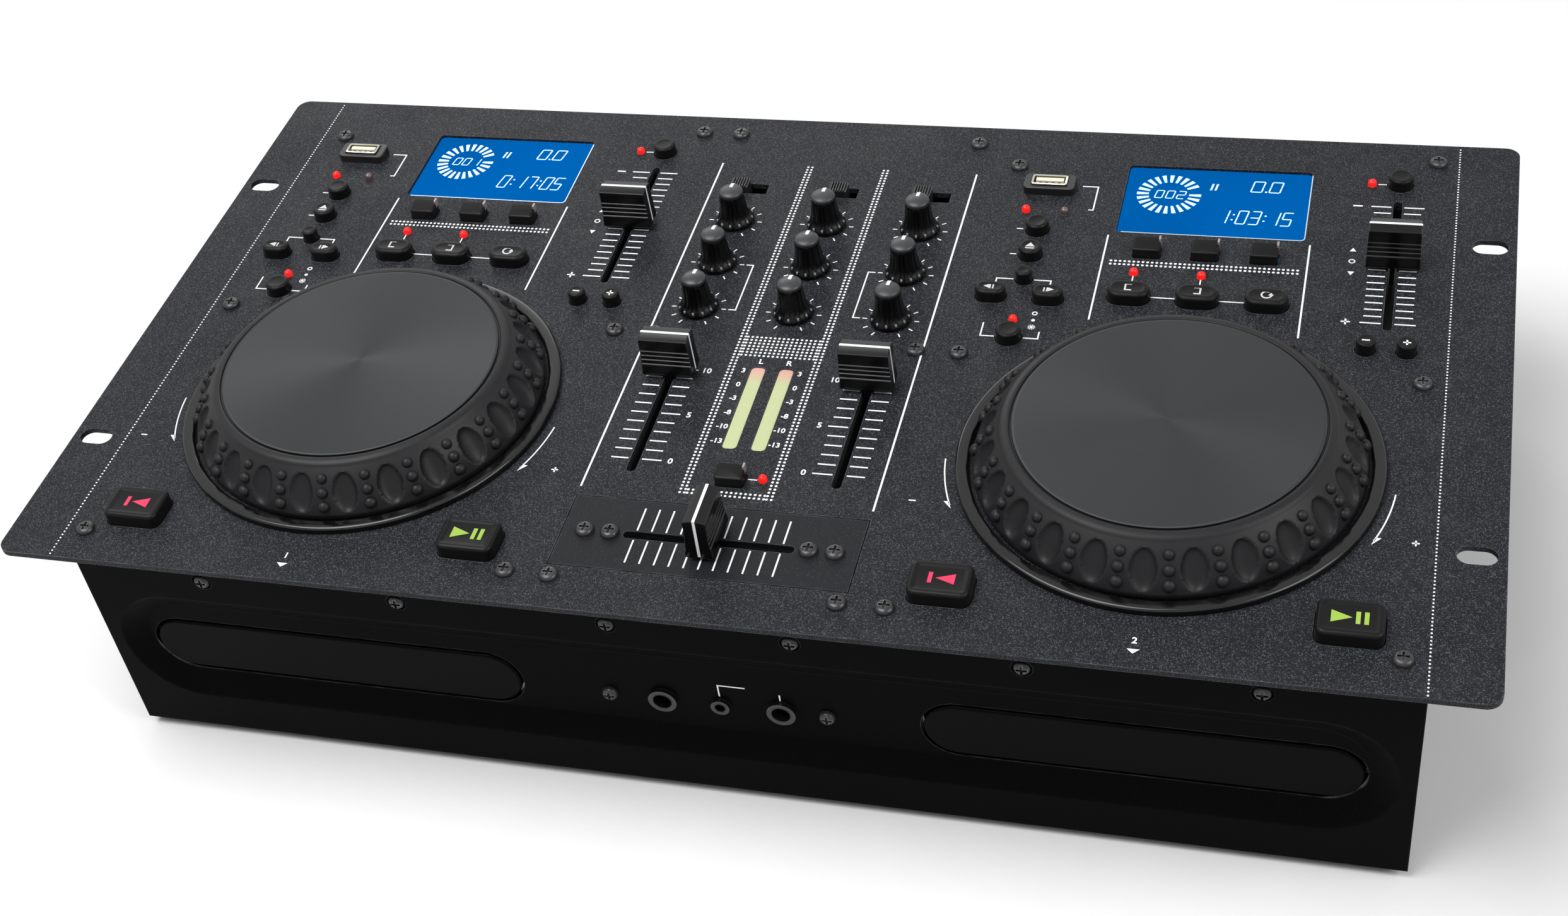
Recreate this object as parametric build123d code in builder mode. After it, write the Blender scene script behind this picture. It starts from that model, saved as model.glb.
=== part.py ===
from build123d import *
from dataclasses import dataclass
from math import atan2, cos, radians, sin
import os

# Dual disc player and mixer for a 19 inch rack, in millimetres.
# X runs to the right, Y to the back and Z up. The origin is under the middle, on the surface it stands on.
# Places on the panel are given as (x from a centre line, y from the front edge of the panel).

os.makedirs("parts", exist_ok=True)

# ---------------------------------------------------------------- case
rack_width = 482.6
rack_unit = 44.45
rack_units = 6
rack_play = 0.8
panel_depth = rack_unit * rack_units - rack_play
panel_thickness = 2.0
panel_corner = 5.0
rack_slot_spacing_x = 465.1
rack_slot_spacing_y = 149.225
rack_slot_length = 12.0
rack_slot_width = 7.5
body_width = 443.1
body_height = 94.5
front_setback = 11.2
rear_setback = 9.1
sheet = 1.5
foot_height = 4.0
foot_radius = 9.0
foot_inset = 30.0
foot_taper = 8.0
side_flange = 4.0
end_flange = 4.2
tab_width = 8.0
tab_depth = 10.0
tab_gap = 1.0
cross_bar_width = 9.0
cross_bar_height = 6.0

# ---------------------------------------------------------------- front panel
front_thickness = 2.0
recess_width = 433.0
recess_height = 50.0
recess_depth = 5.0
recess_slope = 8.5
recess_drop = 53.0
recess_edge_round = 2.0
pick_margin = 1.0
front_rail_height = 22.0
door_width = 137.0
door_height = 22.8
door_thickness = 3.0
door_proud = 0.5
door_gap = 1.0
door_round = 1.0
door_drop = 56.5
front_screw_drop = 18.0
front_screw_places = (30.5, 103.5, 175.0)
front_screw_seat_radius = 3.4
front_screw_seat_depth = 1.0
front_screw_head_radius = 2.8
front_rail_gap = 0.3
front_lip_height = 10.0

# ---------------------------------------------------------------- screws
screw_head_radius = 3.25
screw_head_height = 2.0
screw_shank_radius = 1.25
screw_hole_play = 0.15
screw_cross_width = 0.9
screw_cross_length = 3.6
screw_cross_depth = 1.0
screw_round_share = 0.8
screw_reach = 3.5
screw_row_front = 13.5
screw_row_middle = 133.5
screw_row_side = 241.8
screw_row_rear = 254.5
deck_screw_x = 75.8
deck_screw_inner_x = 73.3
mixer_screw_x = 47.0

# ---------------------------------------------------------------- decks
deck_pitch = 137.8
deck_centres = (-deck_pitch, deck_pitch)
jog_y = 88.3
ring_outer_radius = 67.2
ring_inner_radius = 62.7
ring_height = 2.6
ring_round = 1.1
wheel_radius = 61.5
wheel_lip_radius = 52.4
wheel_skirt_height = 3.2
wheel_slope_top = 17.0
wheel_height = 18.5
wheel_lift = 0.9
wheel_wall = 3.0
wheel_web_height = 8.0
wheel_web = 2.4
wheel_lip_lean = 0.75
wheel_lip_wall = 5.4
plate_radius = 48.6
plate_groove_width = 0.6
plate_groove_depth = 0.8
dimple_count = 24
dimple_length = 13.0
dimple_width = 7.0
dimple_depth = 0.9
spindle_radius = 5.0
spindle_play = 0.06
spindle_base_radius = 14.0
spindle_base_height = 2.0
spindle_stud_radius = 4.0
spindle_head_radius = 8.0
spindle_head_height = 1.6
hub_radius = 9.5
hub_seat_gap = 0.3

lcd_width = 65.5
lcd_depth = 40.2
lcd_y = 226.0
lcd_corner = 1.5
lcd_recess = 1.0
lcd_play = 0.2
lcd_rim = 3.0
lcd_module_height = 6.0

usb_x = -59.9
usb_y = 229.5
usb_width = 18.8
usb_depth = 9.0
usb_corner = 2.0
usb_height = 3.3
usb_port_width = 13.1
usb_port_depth = 5.7
usb_port_wall = 0.4
usb_tongue = 1.8
usb_tongue_reach = 9.0
usb_port_length = 12.6
usb_shell_sink = 0.4
usb_tongue_gap = 0.6
usb_round = 0.5
usb_play = 0.3

# ---------------------------------------------------------------- keys
key_play = 0.3
key_flange = 1.1
key_flange_thickness = 1.0
key_seat_gap = 0.3
key_round = 0.5
key_travel = 0.5
pad_travel = 1.0
switch_size = 6.0
switch_gap = 0.1

pad_width = 20.0
pad_depth = 14.5
pad_corner = 3.0
pad_height = 5.0
pad_x = 60.4
pad_y = 24.1
loop_key_width = 15.0
loop_key_depth = 9.0
loop_key_height = 4.5
loop_key_pitch = 23.2
loop_key_y = 169.3
display_key_width = 9.5
display_key_depth = 6.5
display_key_corner = 0.8
display_key_height = 5.0
display_key_slope = 1.2
display_key_pitch = 20.2
display_key_y = 194.5
left_column_x = -60.6
select_key_y = 204.5
eject_key_y = 189.8
media_key_radius = 4.25
media_key_height = 4.2
search_key_y = 175.5
search_key_radius = 3.0
track_key_width = 11.0
track_key_depth = 7.0
track_key_height = 4.5
track_key_pitch = 20.0
track_key_y = 165.5
jog_mode_key_y = 144.0
jog_mode_key_radius = 4.5
pitch_key_x = 63.5
pitch_key_y = 241.0
pitch_key_radius = 4.35
bend_key_x = 63.4
bend_key_y = 149.2
bend_key_pitch = 13.0
bend_key_radius = 3.3
fader_start_key_y = 63.3

# ---------------------------------------------------------------- mixer
knob_columns = (-35.0, 0.0, 35.0)
knob_rows = (200.3, 174.7, 149.1)
knob_skirt_radius = 7.25
knob_skirt_height = 1.6
knob_body_radius = 5.7
knob_body_height = 12.0
knob_taper = 7.0
knob_skirt_taper = 21.0
knob_flute_count = 12
knob_flute_radius = 0.75
knob_cap_round = 2.0
knob_height = 14.8
knob_lift = 0.6
knob_shaft_radius = 3.0
knob_shaft_play = 0.08
knob_shaft_hole_play = 0.7
knob_shaft_reach = 8.5
pot_size = 11.0
pot_height = 8.0
pot_bush_wall = 1.4
under_panel_gap = 0.5

fader_cap_width = 18.0
fader_cap_length = 9.4
fader_cap_top = 7.8
fader_cap_height = 15.8
fader_cap_ridge = 0.9
fader_cap_base = 1.6
fader_cap_waist = 0.5
fader_cap_lift = 1.6
fader_lever_width = 1.6
fader_lever_length = 8.0
fader_lever_reach = 6.0
fader_body_width = 11.0
fader_body_end = 7.5
fader_lever_play = 0.6
channel_fader_x = 35.0
channel_fader_y = 91.75
channel_fader_travel = 45.0
channel_slot_length = 56.5
channel_slot_width = 3.3
pitch_fader_x = 63.2
pitch_fader_y = 195.4
pitch_fader_travel = 60.0
pitch_slot_length = 71.2
pitch_slot_width = 3.0
crossfader_y = 34.6
crossfader_travel = 45.0
crossfader_slot_length = 57.0
crossfader_slot_width = 3.1
crossfader_plate_width = 98.4
crossfader_plate_depth = 31.5
crossfader_plate_gap = 0.35
crossfader_outer_screw_x = 41.6
crossfader_inner_screw_x = 33.0
crossfader_ledge_inner = 31.0
crossfader_ledge_width = 25.0
crossfader_ledge_depth = 24.0

toggle_y = 220.5
toggle_slot_width = 14.5
toggle_slot_depth = 6.0
toggle_nub_width = 7.0
toggle_nub_height = 3.5
toggle_play = 0.3
toggle_base_gap = 0.5
toggle_travel = 6.4
toggle_block_depth = 8.0
toggle_block_height = 2.0

meter_x = 5.0
meter_y = 98.85
meter_width = 4.9
meter_length = 41.3
meter_corner = 1.6
meter_recess = 0.3
meter_play = 0.1

led_radius = 1.5
led_height = 2.2
led_loop_y = 182.5
led_disc_x = -66.5
led_usb_x = -52.5
led_source_y = 215.5
led_jog_y = 153.0
led_pitch_x = 53.7
led_pitch_y = 240.5
led_fader_x = 10.5
led_fader_y = 64.5
led_play = 0.1
led_dome_share = 0.9

# ---------------------------------------------------------------- inside
board_drop = 12.0
board_thickness = 1.6
board_side_gap = 12.0
board_front_gap = 6.0
board_rear_gap = 12.0
pillar_radius = 2.6
pillar_inset = 6.0
pillar_deck_x = 43.0
pillar_inner_x = 54.5
pillar_front_y = 58.0
pillar_middle_y = 124.0
pillar_rear_y = 225.0

drive_width = 144.0
drive_height = 34.0
drive_length = 190.0
drive_wall = 3.0
drive_front_gap = 1.0
drive_bottom = 2.0
rail_thickness = 2.0
drive_lid = 1.2
tray_drop = 2.0
tray_width = 130.0
tray_length = 168.0
tray_thickness = 5.0
tray_play = 0.3
tray_rail_depth = 4.0
tray_travel = 140.0
disc_pocket_radius = 60.8
disc_pocket_depth = 1.8
small_disc_radius = 40.6
disc_centre = 66.0
tray_window_width = 36.0
tray_window_front = 22.0
tray_window_rear = 58.0
small_pocket_depth = 1.2
clamp_height = 3.0
leg_size = 10.0
turntable_radius = 14.0
turntable_height = 2.6
turntable_cone_radius = 7.4
turntable_cone_height = 2.0
turntable_cone_taper = 21.0
turntable_gap = 0.4
motor_radius = 12.0
motor_height = 7.0
motor_shaft_radius = 1.0
motor_shaft_play = 0.04
pickup_width = 30.0
pickup_length = 22.0
pickup_offset = 32.0
pickup_lens_radius = 3.0
pickup_height = 7.0
pickup_lens_height = 2.6

supply_width = 90.0
supply_length = 110.0
supply_rear_gap = 34.0
supply_standoff = 6.0
supply_foot_inset = 5.2
transformer_width = 42.0
transformer_depth = 36.0
transformer_height = 34.0
capacitor_radius = 9.0
capacitor_height = 25.0
capacitor_inset = 18.0
capacitor_pitch = 27.0
capacitor_count = 3

# ---------------------------------------------------------------- connectors
phone_jack_radius = 3.2
phone_jack_depth = 30.0
phone_bezel_radius = 4.9
bezel_reach = 1.6
mini_jack_radius = 1.8
mini_jack_depth = 14.0
mini_bezel_radius = 3.2
jack_body_margin = 1.4
jack_wall = 2.0
jack_bush_wall = 1.0
jack_bush_play = 0.15
jack_bracket_margin = 5.0
jack_bracket_height = 20.0
jack_drop = 57.3
microphone_x = -18.8
mini_jack_x = 1.2
headphone_x = 22.0
jack_screw_x = 37.4
rca_radius = 4.15
rca_bore_radius = 1.6
rca_reach = 8.4
rca_depth = 8.0
rca_pitch = 14.0
rca_first_x = -60.0
rca_pair_spacing = 22.0
rca_pairs = 4
rca_drop = 34.0
rca_body_depth = 10.0
rca_body_margin = 2.5
inlet_x = 150.0
inlet_drop = 40.0
inlet_width = 27.2
inlet_height = 19.8
inlet_flange = 4.0
inlet_flange_thickness = 2.0
inlet_cavity_width = 24.0
inlet_cavity_height = 16.4
inlet_depth = 18.0
inlet_corner = 2.5
inlet_pin_width = 2.0
inlet_pin_height = 4.0
inlet_pin_reach = 12.0
inlet_pin_spacing = 7.0
rocker_x = 110.0
rocker_width = 13.0
rocker_height = 19.0
rocker_tilt = 9.0
rocker_body_depth = 20.0
rocker_play = 0.4
rocker_pin_radius = 1.5
rocker_pin_play = 0.05
rocker_pin_reach = 0.8
rocker_frame = 1.6
rocker_frame_reach = 1.2
rocker_pivot_depth = 0.5
rocker_face_height = 3.5

# ---------------------------------------------------------------- levels and lines that follow
base_bottom = foot_height
base_floor = base_bottom + sheet
panel_top = base_bottom + body_height
panel_under = panel_top - panel_thickness
front_face = -panel_depth / 2 + front_setback
rear_face = panel_depth / 2 - rear_setback
front_inner = front_face + front_thickness
rear_inner = rear_face - sheet
side_inner = body_width / 2 - sheet
board_top = panel_under - board_drop
key_flange_top = panel_under - key_seat_gap
key_flange_bottom = key_flange_top - key_flange_thickness
recess_floor = front_face + recess_depth
door_z = panel_top - door_drop
drive_front = recess_floor + front_thickness + drive_front_gap
tray_under = door_z - tray_drop - tray_thickness
tray_top = tray_under + tray_thickness
turntable_under = tray_under - turntable_gap - turntable_cone_height - turntable_height
motor_top = turntable_under - turntable_gap
drive_floor_top = motor_top - motor_height
drive_under = drive_floor_top - drive_bottom
disc_y = recess_floor + disc_centre


def from_front(y):
    """Y of a place that is given from the front edge of the panel."""
    return y - panel_depth / 2


# ---------------------------------------------------------------- keys: where and how large
@dataclass(frozen=True)
class Key:
    """One key cap in plan; round where the corner is half the width."""
    x: float
    y: float
    width: float
    depth: float
    corner: float


@dataclass(frozen=True)
class KeySet:
    """Keys that share a node, with their height above the panel."""
    name: str
    keys: tuple
    height: float
    travel: float = key_travel
    slope: float = 0.0


def round_key(x, y, radius):
    return Key(x, y, 2 * radius, 2 * radius, radius)


def key_outlines(keys, margin=0.0, mode=Mode.ADD):
    """Draws the outline of each key, grown by the margin, in the sketch that is open."""
    for key in keys:
        width = key.width + 2 * margin
        depth = key.depth + 2 * margin
        with Locations((key.x, from_front(key.y))):
            if key.corner >= key.width / 2:
                Circle(width / 2, mode=mode)
            elif key.corner >= key.depth / 2:
                SlotOverall(width, depth, mode=mode)
            else:
                RectangleRounded(width, depth, key.corner + margin, mode=mode)


def deck_key_sets(number, centre):
    """The key sets of one deck."""
    def pad(x):
        return (Key(centre + x, pad_y, pad_width, pad_depth, pad_corner),)

    def row(middle, pitch, count, y, width, depth, corner):
        first = centre + middle - pitch * (count - 1) / 2
        return tuple(Key(first + pitch * i, y, width, depth, corner) for i in range(count))

    column = centre + left_column_x
    loop_row = row(0, loop_key_pitch, 3, loop_key_y, loop_key_width, loop_key_depth, loop_key_depth / 2)
    display_row = row(0, display_key_pitch, 3, display_key_y,
                      display_key_width, display_key_depth, display_key_corner)
    track_row = row(left_column_x, track_key_pitch, 2, track_key_y,
                    track_key_width, track_key_depth, track_key_depth / 2)
    bend_row = row(bend_key_x, bend_key_pitch, 2, bend_key_y,
                   2 * bend_key_radius, 2 * bend_key_radius, bend_key_radius)
    search = (round_key(column, search_key_y, search_key_radius),)
    select_and_eject = (round_key(column, select_key_y, media_key_radius),
                        round_key(column, eject_key_y, media_key_radius))
    pitch = (round_key(centre + pitch_key_x, pitch_key_y, pitch_key_radius),)
    jog_mode = (round_key(column, jog_mode_key_y, jog_mode_key_radius),)
    return (
        KeySet(f"cue_button_{number}", pad(-pad_x), pad_height, pad_travel),
        KeySet(f"play_button_{number}", pad(pad_x), pad_height, pad_travel),
        KeySet(f"loop_keys_{number}", loop_row, loop_key_height),
        KeySet(f"display_keys_{number}", display_row, display_key_height, slope=display_key_slope),
        KeySet(f"track_keys_{number}", track_row + search, track_key_height),
        KeySet(f"pitch_bend_keys_{number}", bend_row, track_key_height),
        KeySet(f"pitch_key_{number}", pitch, media_key_height),
        KeySet(f"media_keys_{number}", select_and_eject, media_key_height),
        KeySet(f"jog_mode_key_{number}", jog_mode, media_key_height),
    )


key_sets = [keys for number, centre in enumerate(deck_centres, 1) for keys in deck_key_sets(number, centre)]
fader_start_outline = Key(0.0, fader_start_key_y, display_key_width, display_key_depth, display_key_corner)
key_sets.append(KeySet("fader_start_key", (fader_start_outline,), display_key_height, slope=display_key_slope))


# ---------------------------------------------------------------- faders: where they run
@dataclass(frozen=True)
class Fader:
    """One fader: the middle of its slot, its travel, and where the cap stands from the middle."""
    name: str
    x: float
    y: float
    travel: float
    slot_length: float
    slot_width: float
    rest: float = 0.0
    across: bool = False

    @property
    def turn(self):
        """Turn about Z from a slot that runs front to back."""
        return -90.0 if self.across else 0.0

    @property
    def middle(self):
        return (self.x, from_front(self.y))

    def plane(self, z, offset=0.0):
        """A level plane at z whose Y axis runs along the slot, moved along it by the offset."""
        level = Plane((*self.middle, z)).rotated((0, 0, self.turn))
        return level.move(Pos(level.y_dir * offset))


faders = [Fader(f"pitch_fader_{number}", centre + pitch_fader_x, pitch_fader_y,
                pitch_fader_travel, pitch_slot_length, pitch_slot_width)
          for number, centre in enumerate(deck_centres, 1)]
faders += [Fader(f"channel_fader_{number}", side * channel_fader_x, channel_fader_y, channel_fader_travel,
                 channel_slot_length, channel_slot_width, rest=channel_fader_travel / 2)
           for number, side in ((1, -1), (2, 1))]
faders.append(Fader("crossfader", 0.0, crossfader_y, crossfader_travel,
                    crossfader_slot_length, crossfader_slot_width, across=True))


# ---------------------------------------------------------------- places
knob_places = [(x, from_front(y)) for x in knob_columns for y in knob_rows]
toggle_places = [(x, from_front(toggle_y)) for x in knob_columns]
toggle_rests = (-toggle_travel / 2, 0.0, -toggle_travel / 2)
rack_slot_places = [(x * rack_slot_spacing_x / 2, y * rack_slot_spacing_y / 2) for x in (-1, 1) for y in (-1, 1)]
panel_screw_places = [(centre + x, from_front(y)) for centre in deck_centres
                      for x in (-deck_screw_x, deck_screw_x) for y in (screw_row_front, screw_row_middle)]
panel_screw_places += [(centre - deck_screw_inner_x, from_front(screw_row_side)) for centre in deck_centres]
panel_screw_places += [(centre + deck_screw_x, from_front(screw_row_rear)) for centre in deck_centres]
panel_screw_places += [(x, from_front(y)) for x in (-mixer_screw_x, mixer_screw_x)
                       for y in (screw_row_front, screw_row_middle, screw_row_rear)]
plate_screw_places = [(side * x, from_front(crossfader_y)) for side in (-1, 1)
                      for x in (crossfader_inner_screw_x, crossfader_outer_screw_x)]
led_places = [(centre + x, from_front(y)) for centre in deck_centres
              for x, y in ((-loop_key_pitch, led_loop_y), (0.0, led_loop_y),
                           (led_disc_x, led_source_y), (led_usb_x, led_source_y),
                           (left_column_x, led_jog_y), (led_pitch_x, led_pitch_y))]
led_places.append((led_fader_x, from_front(led_fader_y)))
meter_places = [(side * meter_x, from_front(meter_y)) for side in (-1, 1)]
usb_places = [(centre + usb_x, from_front(usb_y)) for centre in deck_centres]
lcd_places = [(centre, from_front(lcd_y)) for centre in deck_centres]
jog_places = [(centre, from_front(jog_y)) for centre in deck_centres]
drive_places = [(centre, drive_front) for centre in deck_centres]


# ---------------------------------------------------------------- top panel
with BuildPart() as top_panel:
    with BuildSketch(Plane.XY.offset(panel_under)):
        RectangleRounded(rack_width, panel_depth, panel_corner)
        with Locations(*rack_slot_places):
            SlotOverall(rack_slot_length, rack_slot_width, mode=Mode.SUBTRACT)
        with Locations(*panel_screw_places):
            Circle(screw_shank_radius + screw_hole_play, mode=Mode.SUBTRACT)
        with Locations((0, from_front(crossfader_y))):
            Rectangle(crossfader_plate_width + 2 * crossfader_plate_gap,
                      crossfader_plate_depth + 2 * crossfader_plate_gap, mode=Mode.SUBTRACT)
        with Locations(*jog_places):
            Circle(spindle_stud_radius + spindle_play, mode=Mode.SUBTRACT)
        with Locations(*lcd_places):
            RectangleRounded(lcd_width, lcd_depth, lcd_corner, mode=Mode.SUBTRACT)
        with Locations(*usb_places):
            Rectangle(usb_port_width + 2 * usb_port_wall + 2 * usb_play,
                      usb_port_depth + 2 * usb_port_wall + 2 * usb_play, mode=Mode.SUBTRACT)
        for keys in key_sets:
            key_outlines(keys.keys, key_play, Mode.SUBTRACT)
        for fader in faders[:-1]:
            with Locations(fader.middle):
                SlotOverall(fader.slot_length, fader.slot_width, rotation=90, mode=Mode.SUBTRACT)
        with Locations(*knob_places):
            Circle(knob_shaft_radius + knob_shaft_hole_play, mode=Mode.SUBTRACT)
        with Locations(*toggle_places):
            RectangleRounded(toggle_slot_width, toggle_slot_depth, toggle_play, mode=Mode.SUBTRACT)
        with Locations(*meter_places):
            RectangleRounded(meter_width + 2 * meter_play, meter_length + 2 * meter_play,
                             meter_corner + meter_play, mode=Mode.SUBTRACT)
        with Locations(*led_places):
            Circle(led_radius + led_play, mode=Mode.SUBTRACT)
    extrude(amount=panel_thickness)
    # Two ledges under the opening carry the crossfader plate.
    with BuildSketch(Plane.XY.offset(panel_under - sheet)):
        for side in (-1, 1):
            ledge_x = side * (crossfader_ledge_inner + crossfader_ledge_width / 2)
            with Locations((ledge_x, from_front(crossfader_y))):
                Rectangle(crossfader_ledge_width, crossfader_ledge_depth)
        with Locations(*plate_screw_places):
            Circle(screw_shank_radius + screw_hole_play, mode=Mode.SUBTRACT)
    extrude(amount=sheet)
top_panel.part.label = "top_panel"
export_step(top_panel.part, "parts/top_panel.step")


# ---------------------------------------------------------------- crossfader plate
with BuildPart() as crossfader_plate:
    with BuildSketch(Plane.XY.offset(panel_under)):
        with Locations((0, from_front(crossfader_y))):
            Rectangle(crossfader_plate_width, crossfader_plate_depth)
            SlotOverall(crossfader_slot_length, crossfader_slot_width, mode=Mode.SUBTRACT)
        with Locations(*plate_screw_places):
            Circle(screw_shank_radius + screw_hole_play, mode=Mode.SUBTRACT)
    extrude(amount=panel_thickness)
crossfader_plate.part.label = "crossfader_plate"
export_step(crossfader_plate.part, "parts/crossfader_plate.step")


# ---------------------------------------------------------------- jog wheels, their rings and spindles
spindle_top = panel_top + wheel_web_height + hub_seat_gap + wheel_web
hub_bottom = panel_top + spindle_base_height + hub_seat_gap

with BuildPart() as jog_rings:
    for x, y in jog_places:
        with BuildSketch(Plane((x, y, panel_top))):
            Circle(ring_outer_radius)
            Circle(ring_inner_radius, mode=Mode.SUBTRACT)
        extrude(amount=ring_height)
    fillet(jog_rings.faces().group_by(Axis.Z)[-1].edges(), ring_round)
jog_rings.part.label = "jog_rings"
export_step(jog_rings.part, "parts/jog_rings.step")

with BuildPart() as jog_spindles:
    for x, y in jog_places:
        for radius, bottom, top in (
            (spindle_head_radius, panel_under - sheet, panel_under),
            (spindle_stud_radius, panel_under, panel_top),
            (spindle_base_radius, panel_top, panel_top + spindle_base_height),
            (spindle_radius, panel_top + spindle_base_height, spindle_top),
            (spindle_head_radius, spindle_top, spindle_top + spindle_head_height),
        ):
            with BuildSketch(Plane((x, y, bottom))):
                Circle(radius)
            extrude(amount=top - bottom)
jog_spindles.part.label = "jog_spindles"
export_step(jog_spindles.part, "parts/jog_spindles.step")


def turned(centre_x, centre_y, points):
    """A ring or disc turned about an upright line, from its (radius, height) outline, in the open part."""
    with BuildSketch(Plane((centre_x, centre_y, 0), x_dir=(1, 0, 0), z_dir=(0, -1, 0))) as outline:
        with BuildLine():
            Polyline(*points, close=True)
        make_face()
    revolve(outline.sketch, axis=Axis((centre_x, centre_y, 0), (0, 0, 1)))


def build_jog_wheel(centre_x, centre_y):
    """The wheel: hub, web, sloped grip band with oval dimples, lip, groove and flat top."""
    foot = panel_top + wheel_lift
    skirt = panel_top + wheel_skirt_height
    slope_top = panel_top + wheel_slope_top
    top = panel_top + wheel_height
    web_bottom = panel_top + wheel_web_height
    web_top = web_bottom + wheel_web
    ceiling = top - wheel_wall
    groove = top - plate_groove_depth
    slope = atan2(slope_top - skirt, wheel_radius - wheel_lip_radius)
    with BuildPart() as wheel:
        turned(centre_x, centre_y, (
            (spindle_radius + spindle_play, hub_bottom),
            (hub_radius, hub_bottom),
            (hub_radius, web_bottom),
            (wheel_radius - wheel_wall - (web_bottom - skirt) / (slope_top - skirt)
             * (wheel_radius - wheel_lip_radius), web_bottom),
            (wheel_radius - wheel_wall, skirt),
            (wheel_radius - wheel_wall, foot),
            (wheel_radius, foot),
            (wheel_radius, skirt),
            (wheel_lip_radius, slope_top),
            (wheel_lip_radius - wheel_lip_lean, top),
            (plate_radius + plate_groove_width, top),
            (plate_radius + plate_groove_width, groove),
            (plate_radius, groove),
            (plate_radius, top),
            (0, top),
            (0, ceiling),
            (wheel_lip_radius - wheel_lip_wall, ceiling),
            (wheel_lip_radius - wheel_lip_wall, web_top),
            (spindle_radius + spindle_play, web_top),
        ))
        middle_radius = (wheel_radius + wheel_lip_radius) / 2
        middle_height = (skirt + slope_top) / 2
        for i in range(dimple_count):
            turn = radians(360 / dimple_count * i)
            outward = Vector(cos(turn), sin(turn), 0)
            along = outward * -cos(slope) + Vector(0, 0, sin(slope))
            normal = outward * sin(slope) + Vector(0, 0, cos(slope))
            spot = Vector(centre_x, centre_y, middle_height) + outward * middle_radius
            with BuildSketch(Plane(spot, x_dir=along, z_dir=normal)):
                Ellipse(dimple_length / 2, dimple_width / 2)
            extrude(amount=-dimple_depth, mode=Mode.SUBTRACT)
    return wheel


for number, (x, y) in enumerate(jog_places, 1):
    jog_wheel = build_jog_wheel(x, y)
    jog_wheel.part.label = f"jog_wheel_{number}"
    export_step(jog_wheel.part, f"parts/jog_wheel_{number}.step")


# ---------------------------------------------------------------- keys
for keys in key_sets:
    with BuildPart() as key_caps:
        with BuildSketch(Plane.XY.offset(key_flange_top)):
            key_outlines(keys.keys)
        extrude(amount=panel_top + keys.height - key_flange_top)
        if keys.slope:
            for key in keys.keys:
                front_y = from_front(key.y) - key.depth / 2
                with BuildSketch(Plane.YZ.offset(key.x - key.width / 2)):
                    with BuildLine():
                        Polyline((front_y, panel_top + keys.height),
                                 (front_y + key.depth, panel_top + keys.height),
                                 (front_y, panel_top + keys.height - keys.slope), close=True)
                    make_face()
                extrude(amount=key.width, mode=Mode.SUBTRACT)
        else:
            fillet(key_caps.faces().group_by(Axis.Z)[-1].edges(), key_round)
        with BuildSketch(Plane.XY.offset(key_flange_bottom)):
            key_outlines(keys.keys, key_flange)
        extrude(amount=key_flange_thickness)
    key_caps.part.label = keys.name
    export_step(key_caps.part, f"parts/{keys.name}.step")


# ---------------------------------------------------------------- knobs
def build_knob(x, y):
    """Flared skirt, fluted taper, domed cap and the shaft that turns in the potentiometer."""
    bottom = panel_top + knob_lift
    with BuildPart() as knob:
        with BuildSketch(Plane((x, y, bottom))):
            Circle(knob_skirt_radius)
        extrude(amount=knob_skirt_height, taper=knob_skirt_taper)
        with BuildSketch(Plane((x, y, bottom))):
            Circle(knob_body_radius)
            with PolarLocations(knob_body_radius, knob_flute_count):
                Circle(knob_flute_radius, mode=Mode.SUBTRACT)
        extrude(amount=knob_body_height, taper=knob_taper)
        cap_radius = knob_body_radius - knob_body_height * sin(radians(knob_taper)) - knob_flute_radius
        with BuildSketch(Plane((x, y, bottom))):
            Circle(cap_radius)
        extrude(amount=knob_height - knob_lift)
        fillet(knob.faces().sort_by(Axis.Z)[-1].edges(), knob_cap_round)
        with BuildSketch(Plane((x, y, panel_under - knob_shaft_reach))):
            Circle(knob_shaft_radius)
        extrude(amount=bottom - panel_under + knob_shaft_reach)
    return knob


for number, (x, y) in enumerate(knob_places, 1):
    knob = build_knob(x, y)
    knob.part.label = f"knob_{number}"
    export_step(knob.part, f"parts/knob_{number}.step")


# ---------------------------------------------------------------- faders
def build_fader(fader):
    """Cap with a shallow ridge, hollow flanks and the lever that reaches into the fader body."""
    base = panel_top + fader_cap_lift
    half_base = fader_cap_length / 2
    half_top = fader_cap_top / 2
    shoulder = fader_cap_height - fader_cap_ridge
    waist = (half_base + half_top) / 2 - fader_cap_waist
    middle = (fader_cap_base + shoulder) / 2
    end = fader.plane(base, fader.rest)
    section = Plane(end.origin, x_dir=end.y_dir, z_dir=end.x_dir).offset(-fader_cap_width / 2)
    with BuildPart() as cap:
        with BuildSketch(section):
            with BuildLine():
                Polyline((-half_base, fader_cap_base), (-half_base, 0),
                         (half_base, 0), (half_base, fader_cap_base))
                ThreePointArc((half_base, fader_cap_base), (waist, middle), (half_top, shoulder))
                Polyline((half_top, shoulder), (0, fader_cap_height), (-half_top, shoulder))
                ThreePointArc((-half_top, shoulder), (-waist, middle), (-half_base, fader_cap_base))
            make_face()
        extrude(amount=fader_cap_width)
        lever_bottom = panel_under - fader_lever_reach
        with BuildSketch(fader.plane(lever_bottom, fader.rest)):
            Rectangle(fader_lever_width, fader_lever_length)
        extrude(amount=base - lever_bottom)
    return cap


for fader in faders:
    fader_cap = build_fader(fader)
    fader_cap.part.label = fader.name
    export_step(fader_cap.part, f"parts/{fader.name}.step")


# ---------------------------------------------------------------- slide switches
toggle_block_top = panel_under - toggle_base_gap
toggle_block_bottom = toggle_block_top - toggle_block_height

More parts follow.
